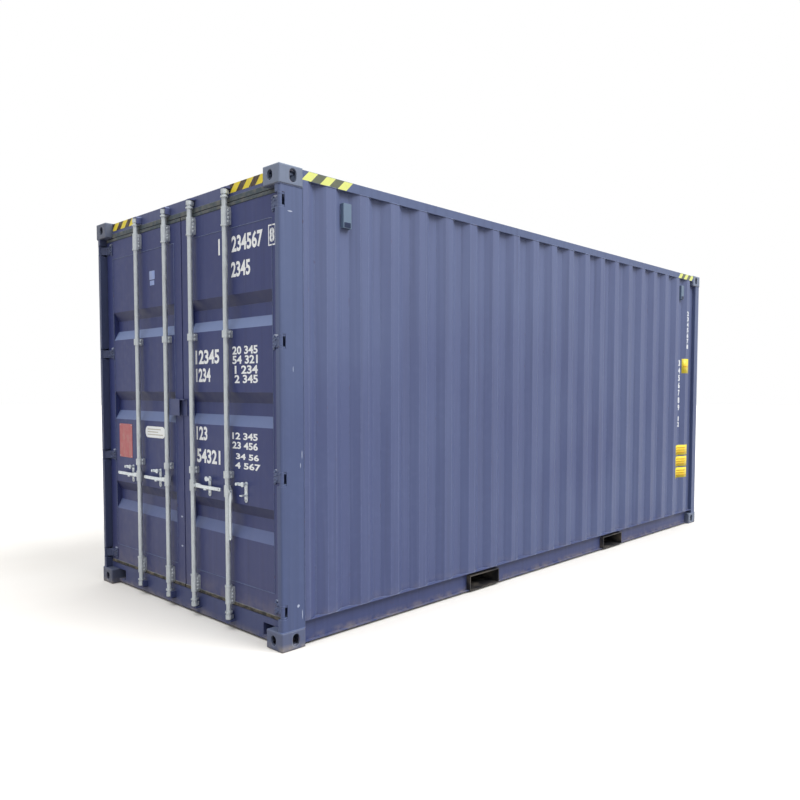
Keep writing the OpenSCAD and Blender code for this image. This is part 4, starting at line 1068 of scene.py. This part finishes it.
class AddPlates(bpy.types.Operator):
    """Adds the bare red, white and pale plates on the left leaf and the labels at the far end"""
    bl_idname = "container.add_plates"
    bl_label = "Plates and labels"

    def ribbon(self, first, last, low, high, lift):
        """A label that follows the side wall's corrugation, lift metres off the sheet."""
        run = drawn_line([(SIDE_PLANE - depth + lift, y, (low + high) / 2)
                          for y, depth in profile(first, last)])
        run.data.extrude = (high - low) / 2
        piece = as_mesh(run)
        solid = piece.modifiers.new("thickness", "SOLIDIFY")
        solid.thickness = sizes().film / 2
        solid.offset = 0
        bpy.ops.object.modifier_apply(modifier=solid.name)
        return piece

    def sheet(self, x0, x1, z0, z1, thick, corner, back=LEAF_FACE):
        """A plate on the left leaf."""
        return plate((x0, back - thick, z0), (x1, back, z1), corner)

    def execute(self, context):
        film = sizes().film
        red, white = 0.002, 0.0015
        corners = [at(x, LEAF_FACE - red, z) for x in (-0.990, -0.795) for z in (1.050, 1.295)]
        for piece, name, tone in (
                (self.sheet(-1.000, -0.785, 1.040, 1.305, red, 0.008), "red_data_plate",
                 "red_enamel"),
                (copies(rivet(sizes().rivet * 0.8), corners), "red_plate_rivets",
                 "galvanised_steel"),
                (self.sheet(-0.565, -0.270, 1.215, 1.300, white, 0.036), "white_plate",
                 "white_film"),
                (joined([self.sheet(-0.530, x1, z0, z0 + 0.007, film, 0.002, LEAF_FACE - white)
                         for x1, z0 in ((-0.33, 1.275), (-0.37, 1.255), (-0.30, 1.235))]),
                 "white_plate_bars", "grey_ink"),
                (joined([self.sheet(-0.468, -0.387, 2.391, 2.455, film, 0.006),
                         self.sheet(-0.460, -0.395, 2.349, 2.383, film, 0.004)]),
                 "pale_labels", "pale_film")):
            keep(piece, name, "left_door", tone)

        # three labels over the recess and one on the flat, their bars just off their surface
        first, last = LABELLED_FLAT - SIDE_PITCH + SIDE_FLAT - 0.012, LABELLED_FLAT + SIDE_FLAT
        tiles, inks = [], []
        for low in (0.565, 0.695, 0.825):
            tiles.append(self.ribbon(first, last, low, low + 0.116, film))
            inks += [self.ribbon(first + 0.03, last - 0.03, low + z, low + z + 0.013, 1.7 * film)
                     for z in (0.026, 0.052, 0.078)]
        tiles.append(self.ribbon(LABELLED_FLAT - 0.050, last - 0.004, 1.765, 1.930, film))
        inks.append(self.ribbon(LABELLED_FLAT - 0.030, last - 0.014, 1.835, 1.850, 1.7 * film))
        keep(joined(tiles), "yellow_labels", "container", "yellow_film")
        keep(joined(inks), "yellow_label_bars", "container", "amber_ink")
        return {"FINISHED"}


class AddScrapesAndGlints(bpy.types.Operator):
    """Adds small scrapes down to the primer on the near post and left leaf, and painted highlights
    above the hinge blades
    """
    bl_idname = "container.add_scrapes"
    bl_label = "Scrapes"

    # Scrapes on the near post's side: place along and up, width and height
    POST_MARKS = ((-2.872, 0.205, 0.005, 0.060), (-2.902, 0.262, 0.018, 0.020),
                  (-2.868, 1.185, 0.005, 0.050), (-2.880, 1.120, 0.004, 0.030),
                  (-2.946, 2.628, 0.036, 0.009), (-2.930, 1.700, 0.004, 0.035))

    def scrape(self, place, width, height, seed):
        """A ragged pale patch, for bare primer at scrapes and for painted highlights."""
        piece = disc(0.5, 1, 18)
        dice = random.Random(seed)
        for vertex in piece.data.vertices:
            vertex.co.x *= width * dice.uniform(0.7, 1.1)
            vertex.co.y *= height * dice.uniform(0.8, 1.05)
            vertex.co.z *= 0.0003
        piece.data.transform(place)
        return piece

    def execute(self, context):
        marks = [self.scrape(at(SIDE_PLANE, y, z, (1, 0, 0)), width, height, seed)
                 for seed, (y, z, width, height) in enumerate(self.POST_MARKS)]
        keep(joined(marks), "post_scrapes", "container", "primer")
        # a painted highlight just above each hinge blade, and two scrapes on the free stile of the
        # left leaf
        for leaf, side, stile_marks in (("left", -1, (0.667, 0.455)), ("right", 1, ())):
            glints_and_scrapes = [self.scrape(at(side * 1.095, LEAF_FACE, level + 0.043), 0.050, 0.015, seed)
                    for seed, level in enumerate(HINGE_LEVELS)]
            glints_and_scrapes += [self.scrape(at(-0.043, LEAF_FACE, z), 0.026, 0.014, seed)
                     for seed, z in enumerate(stile_marks)]
            keep(joined(glints_and_scrapes), f"{leaf}_leaf_scrapes", f"{leaf}_door", "primer")
        return {"FINISHED"}


class AddLeafBacks(bpy.types.Operator):
    """Adds the strips and rivets that hold the seals on the backs of the leaves"""
    bl_idname = "container.add_leaf_backs"
    bl_label = "Seal strips"

    def execute(self, context):
        wide, thick, margin = 0.030, 0.002, 0.004
        for leaf in ("left", "right"):
            low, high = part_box(f"{leaf}_door_frame")
            x0, x1 = low.x + margin, high.x - margin
            z0, z1 = low.z + margin, high.z - margin
            ends = (((x0, z0), (x1, z0 + wide)), ((x0, z1 - wide), (x1, z1)),
                    ((x0, z0 + wide), (x0 + wide, z1 - wide)),
                    ((x1 - wide, z0 + wide), (x1, z1 - wide)))
            strips = [plate((a, LEAF_BACK, b), (c, LEAF_BACK + thick, d), 0.004)
                      for (a, b), (c, d) in ends]
            keep(joined(strips), f"{leaf}_seal_strips", f"{leaf}_door", "galvanised_steel")
            spots = [(x0 + (k + 0.5) * (x1 - x0) / 7, z)
                     for k in range(7) for z in (z0 + wide / 2, z1 - wide / 2)]
            spots += [(x, z0 + (k + 0.5) * (z1 - z0) / 16)
                      for k in range(16) for x in (x0 + wide / 2, x1 - wide / 2)]
            heads = [at(x, LEAF_BACK + thick, z, (0, 1, 0)) for x, z in spots]
            keep(copies(rivet(sizes().rivet * 0.9), heads), f"{leaf}_seal_rivets",
                 f"{leaf}_door", "galvanised_steel")
        return {"FINISHED"}


class SetStage(bpy.types.Operator):
    """Adds the studio floor, the even light, the soft lamps and the camera"""
    bl_idname = "container.set_stage"
    bl_label = "Studio"

    def outward(self, turn, rise):
        """The turn of a camera or lamp that looks in from an angle round the container and an
        angle above the horizon."""
        away = Vector((math.sin(turn) * math.cos(rise), -math.cos(turn) * math.cos(rise),
                       math.sin(rise)))
        return away.to_track_quat("Z", "Y")

    def placed(self, name, data, turn):
        """A new object in the scene, turned."""
        made = bpy.data.objects.new(name, data)
        made.rotation_mode = "QUATERNION"
        made.rotation_quaternion = turn
        bpy.context.scene.collection.objects.link(made)
        return made

    def light(self, world, strength):
        """Even light, stronger from above; the background itself is white."""
        world.use_nodes = True
        tree = world.node_tree
        tree.nodes.clear()
        path = add(tree, "ShaderNodeLightPath").outputs
        seen = add(tree, "ShaderNodeVectorMath", {
            0: add(tree, "ShaderNodeCombineXYZ", {0: path["Is Camera Ray"],
                                                  1: path["Is Glossy Ray"],
                                                  2: path["Is Transmission Ray"]}),
        }, operation="LENGTH").outputs["Value"]
        height = reach(add(tree, "ShaderNodeTexCoord").outputs["Generated"], "Z", 0, 1)
        sky = add(tree, "ShaderNodeMath", {0: height, 1: 1.3 * strength, 2: 0.7 * strength},
                  operation="MULTIPLY_ADD")
        light = add(tree, "ShaderNodeBackground", {"Color": (1, 1, 1, 1), "Strength": sky})
        white = add(tree, "ShaderNodeBackground", {"Color": (1, 1, 1, 1), "Strength": 1.0})
        add(tree, "ShaderNodeOutputWorld", {
            "Surface": add(tree, "ShaderNodeMixShader", {0: seen, 1: light, 2: white})})

    def execute(self, context):
        scene = context.scene
        stage = scene.container_stage
        bpy.ops.mesh.primitive_circle_add(vertices=96, radius=stage.floor, fill_type="NGON")
        floor = bpy.context.object
        floor.name = "studio_floor"
        floor.data.materials.append(rolled_floor_paint())
        scene.world = bpy.data.worlds.new("studio_light")
        self.light(scene.world, stage.sky)

        for k, (energy, turn, rise, spread) in enumerate(
                zip(stage.lamps, stage.turns, stage.rises, stage.spreads), 1):
            lamp = bpy.data.lights.new(f"soft_lamp_{k}", "SUN")
            lamp.energy = energy
            lamp.angle = spread
            self.placed(lamp.name, lamp, self.outward(turn, rise))

        lens = bpy.data.cameras.new("camera")
        lens.lens = stage.lens
        lens.sensor_width = 36
        lens.shift_x, lens.shift_y = stage.shift
        lens.clip_end = 200
        roll = Matrix.Rotation(stage.roll, 3, "Z").to_quaternion()
        scene.camera = self.placed(
            "camera", lens, self.outward(stage.azimuth, stage.elevation) @ roll)
        scene.camera.location = stage.place
        scene.view_settings.view_transform = "Standard"
        return {"FINISHED"}


OPERATORS = (DressNodes, AddWelds, AddHoodMouths, AddFasteners, AddHingePads, AddSealLips,
             AddHazardFilms, AddNumerals, AddPlates, AddScrapesAndGlints, AddLeafBacks, SetStage)
GROUPS = {"container_sizes": ContainerSizes, "container_colours": ContainerColours,
          "container_stage": ContainerStage}


class ContainerPanel(bpy.types.Panel):
    """Sizes, colours and pieces of the container"""
    bl_idname = "VIEW3D_PT_container"
    bl_label = "Container"
    bl_space_type = "VIEW_3D"
    bl_region_type = "UI"
    bl_category = "Container"

    def draw(self, context):
        for group in GROUPS:
            settings = getattr(context.scene, group)
            for name in settings.bl_rna.properties.keys():
                if name not in ("rna_type", "name"):
                    self.layout.prop(settings, name)
        for operator in OPERATORS:
            self.layout.operator(operator.bl_idname)


def register():
    for kind in (*GROUPS.values(), *OPERATORS, ContainerPanel):
        bpy.utils.register_class(kind)
    for name, group in GROUPS.items():
        setattr(bpy.types.Scene, name, PointerProperty(type=group))


def unregister():
    for name in GROUPS:
        delattr(bpy.types.Scene, name)
    for kind in (ContainerPanel, *reversed(OPERATORS), *reversed(GROUPS.values())):
        bpy.utils.unregister_class(kind)


def main():
    """Makes every piece in order."""
    register()
    for operator in OPERATORS:
        getattr(bpy.ops.container, operator.bl_idname.split(".")[1])()


if __name__ == "__main__":
    main()
